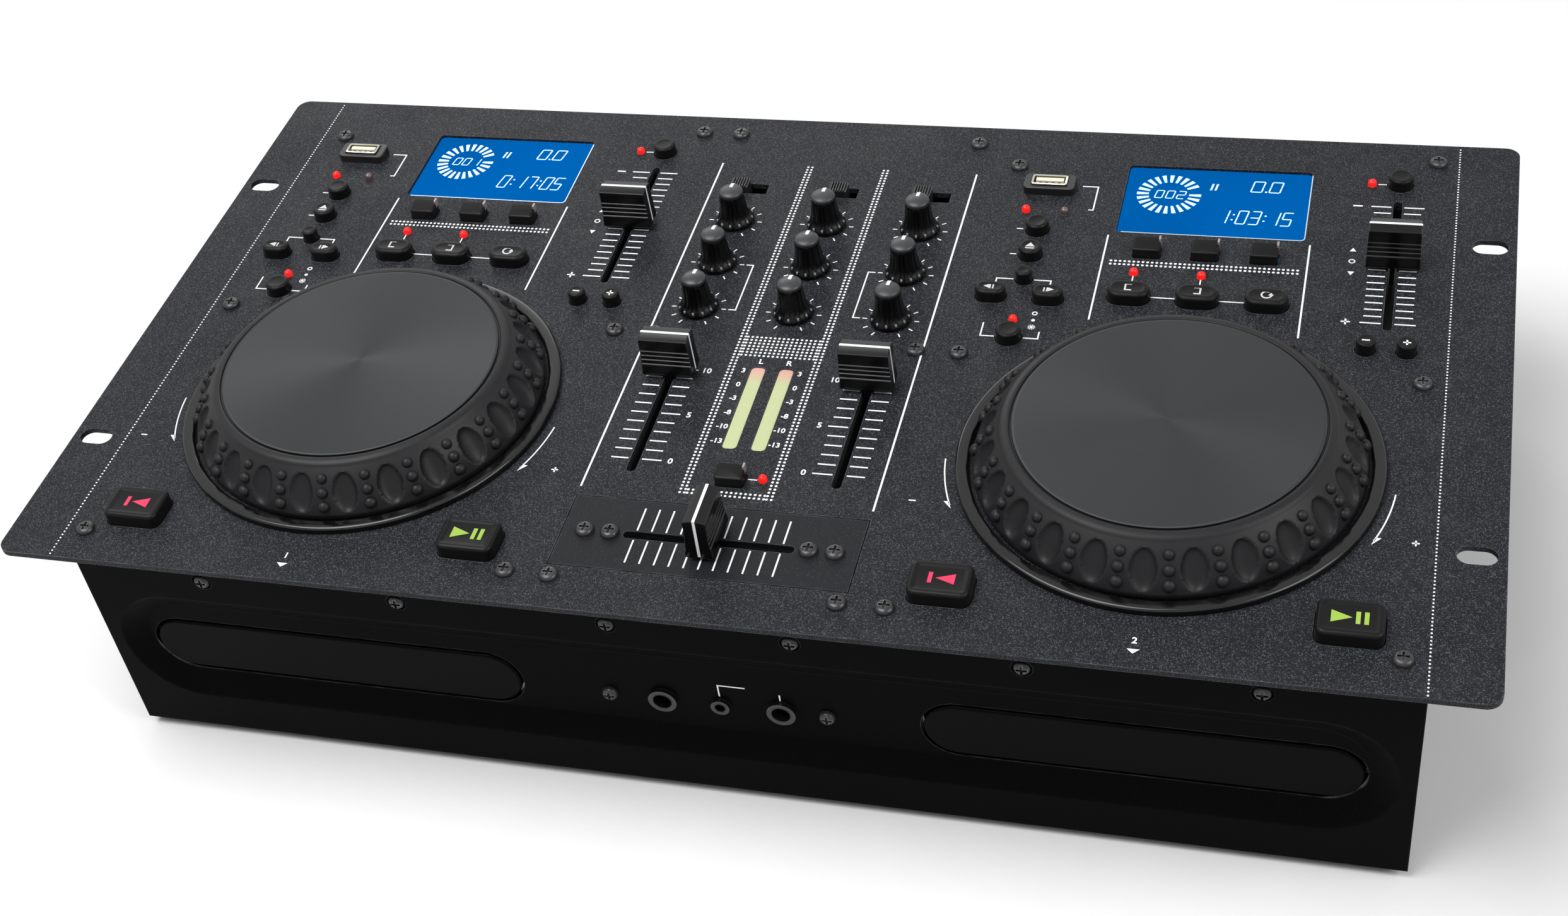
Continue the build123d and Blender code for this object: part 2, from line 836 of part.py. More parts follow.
for number, ((x, y), rest) in enumerate(zip(toggle_places, toggle_rests), 1):
    with BuildPart() as slide_switch:
        with BuildSketch(Plane((x + rest, y, toggle_block_top))):
            RectangleRounded(toggle_nub_width, toggle_slot_depth - 2 * toggle_play, toggle_play)
        extrude(amount=panel_top + toggle_nub_height - toggle_block_top)
        with BuildSketch(Plane((x + rest, y, toggle_block_bottom))):
            Rectangle(toggle_nub_width, toggle_block_depth)
        extrude(amount=toggle_block_height)
    slide_switch.part.label = f"slide_switch_{number}"
    export_step(slide_switch.part, f"parts/slide_switch_{number}.step")


# ---------------------------------------------------------------- displays, lamps and meters
with BuildPart() as lcd_displays:
    with BuildSketch(Plane.XY.offset(panel_under - lcd_module_height)):
        with Locations(*lcd_places):
            Rectangle(lcd_width + 2 * lcd_rim, lcd_depth + 2 * lcd_rim)
    extrude(amount=lcd_module_height)
    with BuildSketch(Plane.XY.offset(panel_under)):
        with Locations(*lcd_places):
            RectangleRounded(lcd_width - 2 * lcd_play, lcd_depth - 2 * lcd_play, lcd_corner)
    extrude(amount=panel_thickness - lcd_recess)
lcd_displays.part.label = "lcd_displays"
export_step(lcd_displays.part, "parts/lcd_displays.step")

with BuildPart() as indicator_leds:
    with BuildSketch(Plane.XY.offset(board_top)):
        with Locations(*led_places):
            Circle(led_radius)
    extrude(amount=panel_top + led_height - board_top)
    fillet(indicator_leds.faces().group_by(Axis.Z)[-1].edges(), led_radius * led_dome_share)
indicator_leds.part.label = "indicator_leds"
export_step(indicator_leds.part, "parts/indicator_leds.step")

with BuildPart() as level_meters:
    with BuildSketch(Plane.XY.offset(board_top)):
        with Locations(*meter_places):
            RectangleRounded(meter_width, meter_length, meter_corner)
    extrude(amount=panel_top - meter_recess - board_top)
level_meters.part.label = "level_meters"
export_step(level_meters.part, "parts/level_meters.step")

usb_shell_width = usb_port_width + 2 * usb_port_wall
usb_shell_depth = usb_port_depth + 2 * usb_port_wall
with BuildPart() as usb_sockets:
    # The raised bezels stand on the panel round the ports.
    with BuildSketch(Plane.XY.offset(panel_top)):
        with Locations(*usb_places):
            RectangleRounded(usb_width, usb_depth, usb_corner)
            Rectangle(usb_shell_width, usb_shell_depth, mode=Mode.SUBTRACT)
    extrude(amount=usb_height)
    fillet(usb_sockets.faces().group_by(Axis.Z)[-1].edges().filter_by(
        lambda edge: abs(edge.center().Y - from_front(usb_y)) > usb_shell_depth / 2 + usb_port_wall
        or min(abs(edge.center().X - x) for x, y in usb_places) > usb_shell_width / 2 + usb_port_wall), usb_round)
    with BuildSketch(Plane.XY.offset(board_top)):
        with Locations(*usb_places):
            Rectangle(usb_shell_width, usb_shell_depth)
    extrude(amount=panel_top + usb_height - usb_shell_sink - board_top)
    with BuildSketch(Plane.XY.offset(panel_top + usb_height - usb_shell_sink)):
        with Locations(*usb_places):
            Rectangle(usb_port_width, usb_port_depth)
    extrude(amount=-usb_port_length, mode=Mode.SUBTRACT)
    with BuildSketch(Plane.XY.offset(panel_top + usb_height - usb_shell_sink - usb_port_length)):
        with Locations(*[(x, y + (usb_port_depth - usb_tongue) / 2 - usb_tongue_gap) for x, y in usb_places]):
            Rectangle(usb_port_width - 2 * usb_port_wall, usb_tongue)
    extrude(amount=usb_tongue_reach)
usb_sockets.part.label = "usb_sockets"
export_step(usb_sockets.part, "parts/usb_sockets.step")


# ---------------------------------------------------------------- control board
board_front = front_face + board_front_gap
board_rear = rear_face - board_rear_gap
board_half_width = body_width / 2 - board_side_gap
pillar_places = [(centre + side * pillar_deck_x, from_front(pillar_rear_y))
                 for centre in deck_centres for side in (-1, 1)]
pillar_places += [(side * x, from_front(y)) for side in (-1, 1)
                  for x, y in ((pillar_inner_x, pillar_front_y), (pillar_inner_x, pillar_middle_y),
                               (board_half_width - pillar_inset, pillar_front_y),
                               (board_half_width - pillar_inset, pillar_middle_y))]

with BuildPart() as control_board:
    with BuildSketch(Plane.XY.offset(board_top - board_thickness)):
        with Locations((0, (board_front + board_rear) / 2)):
            Rectangle(2 * board_half_width, board_rear - board_front)
    extrude(amount=board_thickness)
    with BuildSketch(Plane.XY.offset(board_top)):
        with Locations(*pillar_places):
            Circle(pillar_radius)
    extrude(amount=panel_under - board_top)
    for travel in (key_travel, pad_travel):
        switches = [(key.x, from_front(key.y)) for keys in key_sets if keys.travel == travel for key in keys.keys]
        with BuildSketch(Plane.XY.offset(board_top)):
            with Locations(*switches):
                Rectangle(switch_size, switch_size)
        extrude(amount=key_flange_bottom - travel - switch_gap - board_top)
    with BuildSketch(Plane.XY.offset(board_top)):
        with Locations(*knob_places):
            Rectangle(pot_size, pot_size)
    extrude(amount=pot_height)
    with BuildSketch(Plane.XY.offset(board_top)):
        with Locations(*knob_places):
            Circle(knob_shaft_radius + knob_shaft_play + pot_bush_wall)
    extrude(amount=panel_under - under_panel_gap - board_top)
    with BuildSketch(Plane.XY.offset(panel_under)):
        with Locations(*knob_places):
            Circle(knob_shaft_radius + knob_shaft_play)
    extrude(amount=-knob_shaft_reach - under_panel_gap, mode=Mode.SUBTRACT)
    for fader in faders:
        with BuildSketch(fader.plane(board_top)):
            Rectangle(fader_body_width, fader.travel + 2 * fader_body_end)
        extrude(amount=panel_under - under_panel_gap - board_top)
        with BuildSketch(fader.plane(panel_under)):
            Rectangle(fader_lever_width + 2 * fader_lever_play,
                      fader.travel + fader_lever_length + 2 * fader_lever_play)
        extrude(amount=-fader_lever_reach - fader_lever_play, mode=Mode.SUBTRACT)
    with BuildSketch(Plane.XY.offset(board_top)):
        with Locations(*toggle_places):
            Rectangle(toggle_nub_width + toggle_travel, toggle_block_depth)
    extrude(amount=toggle_block_bottom - toggle_base_gap - board_top)
control_board.part.label = "control_board"
export_step(control_board.part, "parts/control_board.step")


# ---------------------------------------------------------------- front panel
def front_plane(z, depth=0.0):
    """An upright plane that faces the front, at a height and a depth behind the front face."""
    return Plane((0, front_face + depth, z), x_dir=(1, 0, 0), z_dir=(0, -1, 0))


recess_z = panel_top - recess_drop
jack_z = panel_top - jack_drop
front_screw_z = panel_top - front_screw_drop
front_height = panel_under - base_bottom
front_middle_z = (panel_under + base_bottom) / 2
front_screw_xs = [side * x for side in (-1, 1) for x in front_screw_places]
jack_holes = ((microphone_x, phone_jack_radius), (mini_jack_x, mini_jack_radius), (headphone_x, phone_jack_radius))
front_tab_xs = sorted({x for x, y in panel_screw_places if y == from_front(screw_row_front)})

with BuildPart() as front_panel:
    with BuildSketch(front_plane(front_middle_z)):
        Rectangle(body_width, front_height)
    extrude(amount=-front_thickness)
    with BuildSketch(front_plane(recess_z, front_thickness)):
        SlotOverall(recess_width, recess_height)
    with BuildSketch(front_plane(recess_z, recess_depth + front_thickness)):
        SlotOverall(recess_width - 2 * recess_slope, recess_height - 2 * recess_slope)
    loft()
    with BuildSketch(front_plane(recess_z)):
        SlotOverall(recess_width, recess_height)
    with BuildSketch(front_plane(recess_z, recess_depth)):
        SlotOverall(recess_width - 2 * recess_slope, recess_height - 2 * recess_slope)
    loft(mode=Mode.SUBTRACT)
    rims = front_panel.edges().filter_by(
        lambda edge: abs(edge.center().Z - recess_z) < recess_height / 2 + pick_margin
        and abs(edge.center().X) < recess_width / 2 + pick_margin)
    fillet(rims.filter_by_position(Axis.Y, front_face, front_face + recess_depth), recess_edge_round)
    with BuildSketch(front_plane(door_z, recess_depth)):
        with Locations(*[(centre, 0) for centre in deck_centres]):
            SlotOverall(door_width + 2 * door_gap, door_height + 2 * door_gap)
    extrude(amount=-front_thickness, mode=Mode.SUBTRACT)
    with BuildSketch(front_plane(jack_z, recess_depth)):
        for x, radius in jack_holes:
            with Locations((x, 0)):
                Circle(radius + jack_bush_wall)
        with Locations((-jack_screw_x, 0), (jack_screw_x, 0)):
            Circle(screw_shank_radius + screw_hole_play)
    extrude(amount=-front_thickness, mode=Mode.SUBTRACT)
    with BuildSketch(front_plane(front_screw_z)):
        with Locations(*[(x, 0) for x in front_screw_xs]):
            Circle(screw_shank_radius + screw_hole_play)
    extrude(amount=-front_thickness, mode=Mode.SUBTRACT)
    with BuildSketch(front_plane(front_screw_z)):
        with Locations(*[(x, 0) for x in front_screw_xs]):
            Circle(front_screw_seat_radius)
    extrude(amount=-front_screw_seat_depth, mode=Mode.SUBTRACT)
    # The top edge turns back into a flange with a tab at each screw.
    with BuildSketch(Plane.XY.offset(panel_under - sheet)):
        with Locations((0, front_face + end_flange / 2)):
            Rectangle(2 * (side_inner - front_rail_gap), end_flange)
        with Locations(*[(x, front_face + tab_depth / 2) for x in front_tab_xs]):
            Rectangle(tab_width, tab_depth)
    extrude(amount=sheet)
    with BuildSketch(Plane.XY.offset(panel_under)):
        with Locations(*[(x, from_front(screw_row_front)) for x in front_tab_xs]):
            Circle(screw_shank_radius + screw_hole_play)
    extrude(amount=-screw_reach - screw_hole_play, mode=Mode.SUBTRACT)
front_panel.part.label = "front_panel"
export_step(front_panel.part, "parts/front_panel.step")


# ---------------------------------------------------------------- base tray
rca_columns = [rca_first_x + rca_pair_spacing * i for i in range(rca_pairs)]
rca_places = [(x, panel_top - rca_drop - rca_pitch * row) for x in rca_columns for row in (0, 1)]
inlet_z = panel_top - inlet_drop
rear_tab_places = [place for place in panel_screw_places if place[1] > from_front(screw_row_middle)]
rocker_opening_width = rocker_width + 2 * rocker_play
rocker_opening_height = rocker_height + 2 * rocker_play
rocker_frame_width = rocker_opening_width + 2 * rocker_frame
rocker_frame_height = rocker_opening_height + 2 * rocker_frame


def rear_plane(z, depth=0.0):
    """An upright plane that faces the back, at a height and a depth in front of the rear face."""
    return Plane((0, rear_face - depth, z), x_dir=(-1, 0, 0), z_dir=(0, 1, 0))


with BuildPart() as base_tray:
    with BuildSketch(Plane.XY.offset(base_bottom)):
        with Locations((0, (front_inner + rear_face) / 2)):
            Rectangle(body_width, rear_face - front_inner)
    extrude(amount=front_height)
    with BuildSketch(Plane.XY.offset(base_floor)):
        with Locations((0, (front_inner + rear_inner) / 2 - sheet)):
            Rectangle(2 * side_inner, rear_inner - front_inner + 2 * sheet)
    extrude(amount=front_height, mode=Mode.SUBTRACT)
    with BuildSketch(Plane.XY.offset(panel_under - sheet)):
        flange_front = front_face + tab_depth + tab_gap
        with Locations(*[(side * (side_inner - side_flange / 2), (flange_front + rear_inner) / 2)
                         for side in (-1, 1)]):
            Rectangle(side_flange, rear_inner - flange_front)
        with Locations((0, rear_inner - end_flange / 2)):
            Rectangle(2 * side_inner, end_flange)
        for x, y in rear_tab_places:
            with Locations((x, (y - tab_depth / 2 + rear_inner) / 2)):
                Rectangle(tab_width, rear_inner - y + tab_depth / 2)
    extrude(amount=sheet)
    with BuildSketch(Plane.XY.offset(panel_under - cross_bar_height)):
        with Locations((0, from_front(screw_row_middle))):
            Rectangle(2 * side_inner, cross_bar_width)
    extrude(amount=cross_bar_height)
    with BuildSketch(Plane.XY.offset(panel_under - front_rail_height)):
        with Locations((0, front_inner + sheet / 2)):
            Rectangle(2 * side_inner, sheet)
    extrude(amount=front_rail_height - screw_reach - front_rail_gap)
    with BuildSketch(Plane.XY.offset(base_floor)):
        with Locations((0, front_inner + sheet / 2)):
            Rectangle(2 * side_inner, sheet)
    extrude(amount=front_lip_height)
    with BuildSketch(Plane.XY.offset(panel_under)):
        with Locations(*[place for place in panel_screw_places if place[1] > front_inner + tab_depth]):
            Circle(screw_shank_radius + screw_hole_play)
    extrude(amount=-screw_reach - screw_hole_play, mode=Mode.SUBTRACT)
    with BuildSketch(front_plane(front_screw_z, front_thickness)):
        with Locations(*[(x, 0) for x in front_screw_xs]):
            Circle(screw_shank_radius + screw_hole_play)
    extrude(amount=-sheet, mode=Mode.SUBTRACT)
    with BuildSketch(rear_plane(0)):
        with Locations(*[(-x, z) for x, z in rca_places]):
            Circle(rca_radius + screw_hole_play)
        with Locations((-inlet_x, inlet_z)):
            Rectangle(inlet_width + 2 * screw_hole_play, inlet_height + 2 * screw_hole_play)
        with Locations((-rocker_x, inlet_z)):
            Rectangle(rocker_frame_width + 2 * screw_hole_play, rocker_frame_height + 2 * screw_hole_play)
    extrude(amount=-sheet, mode=Mode.SUBTRACT)
base_tray.part.label = "base_tray"
export_step(base_tray.part, "parts/base_tray.step")


# ---------------------------------------------------------------- feet
foot_x = body_width / 2 - foot_inset
foot_y = (rear_face - front_face) / 2 - foot_inset
foot_middle = (rear_face + front_face) / 2
with BuildPart() as rubber_feet:
    with BuildSketch(Plane.XY):
        with Locations(*[(i * foot_x, foot_middle + j * foot_y) for i in (-1, 1) for j in (-1, 1)]):
            Circle(foot_radius)
    extrude(amount=foot_height, taper=-foot_taper)
rubber_feet.part.label = "rubber_feet"
export_step(rubber_feet.part, "parts/rubber_feet.step")


# ---------------------------------------------------------------- screws
def build_screw(head_radius):
    """A pan head screw that stands on the origin with its cross recess upwards."""
    with BuildPart() as screw:
        with BuildSketch():
            Circle(head_radius)
        extrude(amount=screw_head_height)
        fillet(screw.faces().sort_by(Axis.Z)[-1].edges(), screw_head_height * screw_round_share)
        with BuildSketch():
            Circle(screw_shank_radius)
        extrude(amount=-panel_thickness - screw_reach)
        with BuildSketch(Plane.XY.offset(screw_head_height)):
            Rectangle(screw_cross_length, screw_cross_width)
            Rectangle(screw_cross_width, screw_cross_length)
        extrude(amount=-screw_cross_depth, mode=Mode.SUBTRACT)
    return screw


panel_screw = build_screw(screw_head_radius)
front_screw = build_screw(front_screw_head_radius)
with BuildPart() as case_screws:
    with Locations(*[(x, y, panel_top) for x, y in panel_screw_places + plate_screw_places]):
        add(panel_screw.part)
    with Locations(*[Location((x, front_face + front_screw_seat_depth, front_screw_z), (90, 0, 0))
                     for x in front_screw_xs]):
        add(front_screw.part)
    with Locations(*[Location((side * jack_screw_x, recess_floor, jack_z), (90, 0, 0)) for side in (-1, 1)]):
        add(front_screw.part)
case_screws.part.label = "case_screws"
export_step(case_screws.part, "parts/case_screws.step")


# ---------------------------------------------------------------- disc drives
drive_inner = drive_width / 2 - drive_wall
rail_bottom = tray_under - tray_play - rail_thickness
rail_top = tray_top + tray_play + rail_thickness
rail_inner = tray_width / 2 - tray_rail_depth
drive_middle = drive_front + drive_length / 2

with BuildPart() as disc_drives:
    for centre in deck_centres:
        with BuildSketch(Plane((centre, drive_middle, drive_under))):
            Rectangle(drive_width, drive_length)
        extrude(amount=drive_height)
        with BuildSketch(Plane((centre, drive_middle, drive_floor_top))):
            Rectangle(2 * drive_inner, drive_length + 2 * drive_wall)
        extrude(amount=drive_height - drive_bottom - drive_lid, mode=Mode.SUBTRACT)
        # Two grooved rails guide the tray.
        with BuildSketch(Plane((centre, drive_middle, rail_bottom))):
            for side in (-1, 1):
                with Locations((side * (rail_inner + drive_inner) / 2, 0)):
                    Rectangle(drive_inner - rail_inner, drive_length)
        extrude(amount=rail_top - rail_bottom)
        with BuildSketch(Plane((centre, drive_middle, tray_under - tray_play))):
            Rectangle(tray_width + 2 * tray_play, drive_length)
        extrude(amount=tray_thickness + 2 * tray_play, mode=Mode.SUBTRACT)
        # The spindle motor and the laser pickup stand on the floor, the disc clamp hangs from the lid.
        with BuildSketch(Plane((centre, disc_y, drive_floor_top))):
            Circle(motor_radius)
        extrude(amount=motor_height)
        with BuildSketch(Plane((centre, disc_y, motor_top))):
            Circle(motor_shaft_radius + motor_shaft_play)
        extrude(amount=-motor_height, mode=Mode.SUBTRACT)
        with BuildSketch(Plane((centre, disc_y + pickup_offset, drive_floor_top))):
            Rectangle(pickup_width, pickup_length)
        extrude(amount=pickup_height)
        with BuildSketch(Plane((centre, disc_y + pickup_offset, drive_floor_top + pickup_height))):
            Circle(pickup_lens_radius)
        extrude(amount=pickup_lens_height)
        with BuildSketch(Plane((centre, disc_y, drive_under + drive_height - drive_lid))):
            Circle(turntable_radius)
        extrude(amount=-clamp_height)
        # Four legs stand on the floor of the case.
        with BuildSketch(Plane((centre, drive_middle, base_floor))):
            with GridLocations(drive_width - leg_size, drive_length - leg_size, 2, 2):
                Rectangle(leg_size, leg_size)
        extrude(amount=drive_under - base_floor)
disc_drives.part.label = "disc_drives"
export_step(disc_drives.part, "parts/disc_drives.step")

door_front = recess_floor - door_proud
door_back = door_front + door_thickness
for number, centre in enumerate(deck_centres, 1):
    with BuildPart() as disc_tray:
        with BuildSketch(Plane((centre, door_front, door_z), x_dir=(1, 0, 0), z_dir=(0, -1, 0))):
            SlotOverall(door_width, door_height)
        extrude(amount=-door_thickness)
        fillet(disc_tray.faces().sort_by(Axis.Y)[0].edges(), door_round)
        with BuildSketch(Plane((centre, door_back + tray_length / 2, tray_under))):
            Rectangle(tray_width, tray_length)
        extrude(amount=tray_thickness)
        with BuildSketch(Plane((centre, disc_y, tray_top))):
            Circle(disc_pocket_radius)
        extrude(amount=-disc_pocket_depth, mode=Mode.SUBTRACT)
        with BuildSketch(Plane((centre, disc_y, tray_top - disc_pocket_depth))):
            Circle(small_disc_radius)
        extrude(amount=-small_pocket_depth, mode=Mode.SUBTRACT)
        with BuildSketch(Plane((centre, disc_y + (tray_window_rear - tray_window_front) / 2, tray_top))):
            SlotOverall(tray_window_rear + tray_window_front, tray_window_width, rotation=90)
        extrude(amount=-tray_thickness, mode=Mode.SUBTRACT)
    disc_tray.part.label = f"disc_tray_{number}"
    export_step(disc_tray.part, f"parts/disc_tray_{number}.step")

    with BuildPart() as turntable:
        with BuildSketch(Plane((centre, disc_y, turntable_under))):
            Circle(turntable_radius)
        extrude(amount=turntable_height)
        with BuildSketch(Plane((centre, disc_y, turntable_under + turntable_height))):
            Circle(turntable_cone_radius)
        extrude(amount=turntable_cone_height, taper=turntable_cone_taper)
        with BuildSketch(Plane((centre, disc_y, turntable_under))):
            Circle(motor_shaft_radius)
        extrude(amount=-motor_height)
    turntable.part.label = f"turntable_{number}"
    export_step(turntable.part, f"parts/turntable_{number}.step")


# ---------------------------------------------------------------- power supply
supply_rear = rear_inner - supply_rear_gap
supply_top = base_floor + supply_standoff + board_thickness
with BuildPart() as power_supply:
    with BuildSketch(Plane((0, supply_rear - supply_length / 2, base_floor))):
        with GridLocations(supply_width - 2 * supply_foot_inset, supply_length - 2 * supply_foot_inset, 2, 2):
            Circle(pillar_radius)
    extrude(amount=supply_standoff)
    with BuildSketch(Plane((0, supply_rear - supply_length / 2, base_floor + supply_standoff))):
        Rectangle(supply_width, supply_length)
    extrude(amount=board_thickness)
    with BuildSketch(Plane((0, supply_rear - supply_length / 2, supply_top))):
        Rectangle(transformer_width, transformer_depth)
    extrude(amount=transformer_height)
    with BuildSketch(Plane((0, supply_rear - capacitor_inset, supply_top))):
        with GridLocations(capacitor_pitch, 1, capacitor_count, 1):
            Circle(capacitor_radius)
    extrude(amount=capacitor_height)
power_supply.part.label = "power_supply"
export_step(power_supply.part, "parts/power_supply.step")


# ---------------------------------------------------------------- front jacks
jack_back = recess_depth + front_thickness
with BuildPart() as front_jacks:
    # One bracket behind the panel carries the three jacks.
    with BuildSketch(front_plane(jack_z, jack_back)):
        Rectangle(2 * (jack_screw_x + jack_bracket_margin), jack_bracket_height)
    extrude(amount=-sheet)
    for x, radius, depth, bezel in ((microphone_x, phone_jack_radius, phone_jack_depth, phone_bezel_radius),
                                    (mini_jack_x, mini_jack_radius, mini_jack_depth, mini_bezel_radius),
                                    (headphone_x, phone_jack_radius, phone_jack_depth, phone_bezel_radius)):
        with BuildSketch(front_plane(jack_z, recess_depth - bezel_reach)):
            with Locations((x, 0)):
                Circle(bezel)
        extrude(amount=-bezel_reach)
        with BuildSketch(front_plane(jack_z, recess_depth)):
            with Locations((x, 0)):
                Circle(radius + jack_bush_wall - jack_bush_play)
        extrude(amount=-front_thickness)
        with BuildSketch(front_plane(jack_z, jack_back)):
            with Locations((x, 0)):
                Rectangle(2 * (radius + jack_body_margin + jack_wall), 2 * (radius + jack_body_margin + jack_wall))
        extrude(amount=-depth)
    for x, radius, depth in ((microphone_x, phone_jack_radius, phone_jack_depth),
                             (mini_jack_x, mini_jack_radius, mini_jack_depth),
                             (headphone_x, phone_jack_radius, phone_jack_depth)):
        with BuildSketch(front_plane(jack_z, recess_depth - bezel_reach)):
            with Locations((x, 0)):
                Circle(radius)
        extrude(amount=-depth, mode=Mode.SUBTRACT)
    with BuildSketch(front_plane(jack_z, jack_back)):
        with Locations((-jack_screw_x, 0), (jack_screw_x, 0)):
            Circle(screw_shank_radius + screw_hole_play)
    extrude(amount=-sheet, mode=Mode.SUBTRACT)
front_jacks.part.label = "front_jacks"
export_step(front_jacks.part, "parts/front_jacks.step")


# ---------------------------------------------------------------- rear connectors
with BuildPart() as rear_connectors:
    rca_body_width = 2 * (rca_radius + rca_body_margin)
    with BuildSketch(rear_plane(panel_top - rca_drop - rca_pitch / 2, sheet)):
        with Locations(*[(-x, 0) for x in rca_columns]):
            Rectangle(rca_body_width, rca_pitch + rca_body_width)
    extrude(amount=-rca_body_depth)
    with BuildSketch(rear_plane(0, sheet)):
        with Locations(*[(-x, z) for x, z in rca_places]):
            Circle(rca_radius)
    extrude(amount=sheet + rca_reach)
    with BuildSketch(rear_plane(0, -rca_reach)):
        with Locations(*[(-x, z) for x, z in rca_places]):
            Circle(rca_bore_radius)
    extrude(amount=-rca_depth, mode=Mode.SUBTRACT)
    # The mains inlet has a flange, a cavity and three pins.
    with BuildSketch(rear_plane(inlet_z)):
        with Locations((-inlet_x, 0)):
            RectangleRounded(inlet_width + 2 * inlet_flange, inlet_height + 2 * inlet_flange, inlet_corner)
    extrude(amount=inlet_flange_thickness)
    with BuildSketch(rear_plane(inlet_z)):
        with Locations((-inlet_x, 0)):
            Rectangle(inlet_width, inlet_height)
    extrude(amount=-inlet_depth)
    with BuildSketch(rear_plane(inlet_z, -inlet_flange_thickness)):
        with Locations((-inlet_x, 0)):
            RectangleRounded(inlet_cavity_width, inlet_cavity_height, inlet_corner)
    extrude(amount=-inlet_depth, mode=Mode.SUBTRACT)
    with BuildSketch(rear_plane(inlet_z, inlet_depth)):
        with Locations(*[(-inlet_x + inlet_pin_spacing * i, 0) for i in (-1, 0, 1)]):
            Rectangle(inlet_pin_width, inlet_pin_height)
    extrude(amount=inlet_pin_reach)
    # The frame of the rocker switch.
    with BuildSketch(rear_plane(inlet_z, -rocker_frame_reach)):
        with Locations((-rocker_x, 0)):
            Rectangle(rocker_frame_width + 2 * rocker_frame, rocker_frame_height + 2 * rocker_frame)
    extrude(amount=-rocker_frame_reach)
    with BuildSketch(rear_plane(inlet_z)):
        with Locations((-rocker_x, 0)):
            Rectangle(rocker_frame_width, rocker_frame_height)
    extrude(amount=-rocker_body_depth)
    with BuildSketch(rear_plane(inlet_z, -rocker_frame_reach)):
        with Locations((-rocker_x, 0)):
            Rectangle(rocker_opening_width, rocker_opening_height)
    extrude(amount=-rocker_body_depth, mode=Mode.SUBTRACT)
    with BuildSketch(Plane.YZ.offset(rocker_x - rocker_frame_width / 2)):
        with Locations((rear_face - rocker_pivot_depth, inlet_z)):
            Circle(rocker_pin_radius + rocker_pin_play)
    extrude(amount=rocker_frame_width, mode=Mode.SUBTRACT)
rear_connectors.part.label = "rear_connectors"
export_step(rear_connectors.part, "parts/rear_connectors.step")

with BuildPart() as power_switch:
    # The ends are round about the pin, so that they clear the frame as the rocker tips.
    end_reach = rocker_height / 2
    with BuildSketch(Plane.YZ.offset(rocker_x - rocker_width / 2)):
        with Locations((rear_face - rocker_pivot_depth, inlet_z)):
            Circle(end_reach)
            with Locations(Rotation(0, 0, rocker_tilt)):
                with Locations((rocker_face_height + end_reach, 0)):
                    Rectangle(2 * end_reach, 4 * end_reach, mode=Mode.SUBTRACT)
                with Locations((-rocker_face_height - end_reach, 0)):
                    Rectangle(2 * end_reach, 4 * end_reach, mode=Mode.SUBTRACT)
    extrude(amount=rocker_width)
    with BuildSketch(Plane.YZ.offset(rocker_x - rocker_width / 2 - rocker_play - rocker_pin_reach)):
        with Locations((rear_face - rocker_pivot_depth, inlet_z)):
            Circle(rocker_pin_radius)
    extrude(amount=rocker_width + 2 * (rocker_play + rocker_pin_reach))
power_switch.part.label = "power_switch"
export_step(power_switch.part, "parts/power_switch.step")
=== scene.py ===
"""Looks of a rack-mount dual disc player with a mixer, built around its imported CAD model.

Sizes are in millimetres in the CAD model's own frame unless a name says otherwise: X to the right,
Y to the back and Z up, with the origin under the middle of the panel.
"""

import logging
import math
from collections.abc import Iterable, Sequence
from dataclasses import dataclass
from enum import Enum

import bpy
from mathutils import Matrix, Vector


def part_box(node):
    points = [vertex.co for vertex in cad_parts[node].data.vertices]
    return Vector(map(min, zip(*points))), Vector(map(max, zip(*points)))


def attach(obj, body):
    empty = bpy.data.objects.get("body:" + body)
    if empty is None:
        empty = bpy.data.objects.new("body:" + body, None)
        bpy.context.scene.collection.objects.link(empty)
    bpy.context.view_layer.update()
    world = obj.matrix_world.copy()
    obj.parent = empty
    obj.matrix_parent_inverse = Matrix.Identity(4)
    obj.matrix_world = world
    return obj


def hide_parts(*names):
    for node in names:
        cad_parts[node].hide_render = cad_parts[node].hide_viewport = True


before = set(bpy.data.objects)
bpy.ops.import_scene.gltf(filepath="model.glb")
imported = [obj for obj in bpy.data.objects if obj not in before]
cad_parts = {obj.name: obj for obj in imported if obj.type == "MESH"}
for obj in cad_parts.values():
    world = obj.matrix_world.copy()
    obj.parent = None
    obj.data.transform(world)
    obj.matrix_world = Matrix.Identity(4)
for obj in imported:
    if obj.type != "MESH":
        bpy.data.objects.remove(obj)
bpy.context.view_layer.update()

log = logging.getLogger("console")

Point = tuple[float, float, float]
Flat = tuple[float, float]
Color = tuple[float, float, float, float]

MM = 0.001
CASE = "case"

# Places on the panel. Their Y counts from the panel's front edge, and their X from the middle of the
# panel or, for what both decks have, from the middle of the deck.
PANEL_TOP = 98.5
PANEL_HALF_DEPTH = 132.95
DECK_CENTRES = (-137.8, 137.8)
WHEEL_Y = 88.3
DISPLAY_Y = 226.0
USB_X, USB_Y = -59.9, 229.5
PITCH_FADER_X, PITCH_FADER_Y = 63.2, 195.4
CHANNEL_FADER_Y = 114.25
CROSSFADER_Y = 34.6
START_KEY_Y = 63.3
MIXER_COLUMNS = (-35.0, 0.0, 35.0)
KNOB_ROWS = (200.3, 174.7, 149.1)

# How far print sinks into the panel and stands over it, and how deep keys reach under its top.
PRINT_LOW = PANEL_TOP - 0.02
PRINT_HIGH = PANEL_TOP + 0.05
ROOT = 2.6

# Share of its height by which a sign's strokes are fattened, and the sharpest mitre of a line.
TYPE_WEIGHT = 0.022
MITRE_LIMIT = 0.35


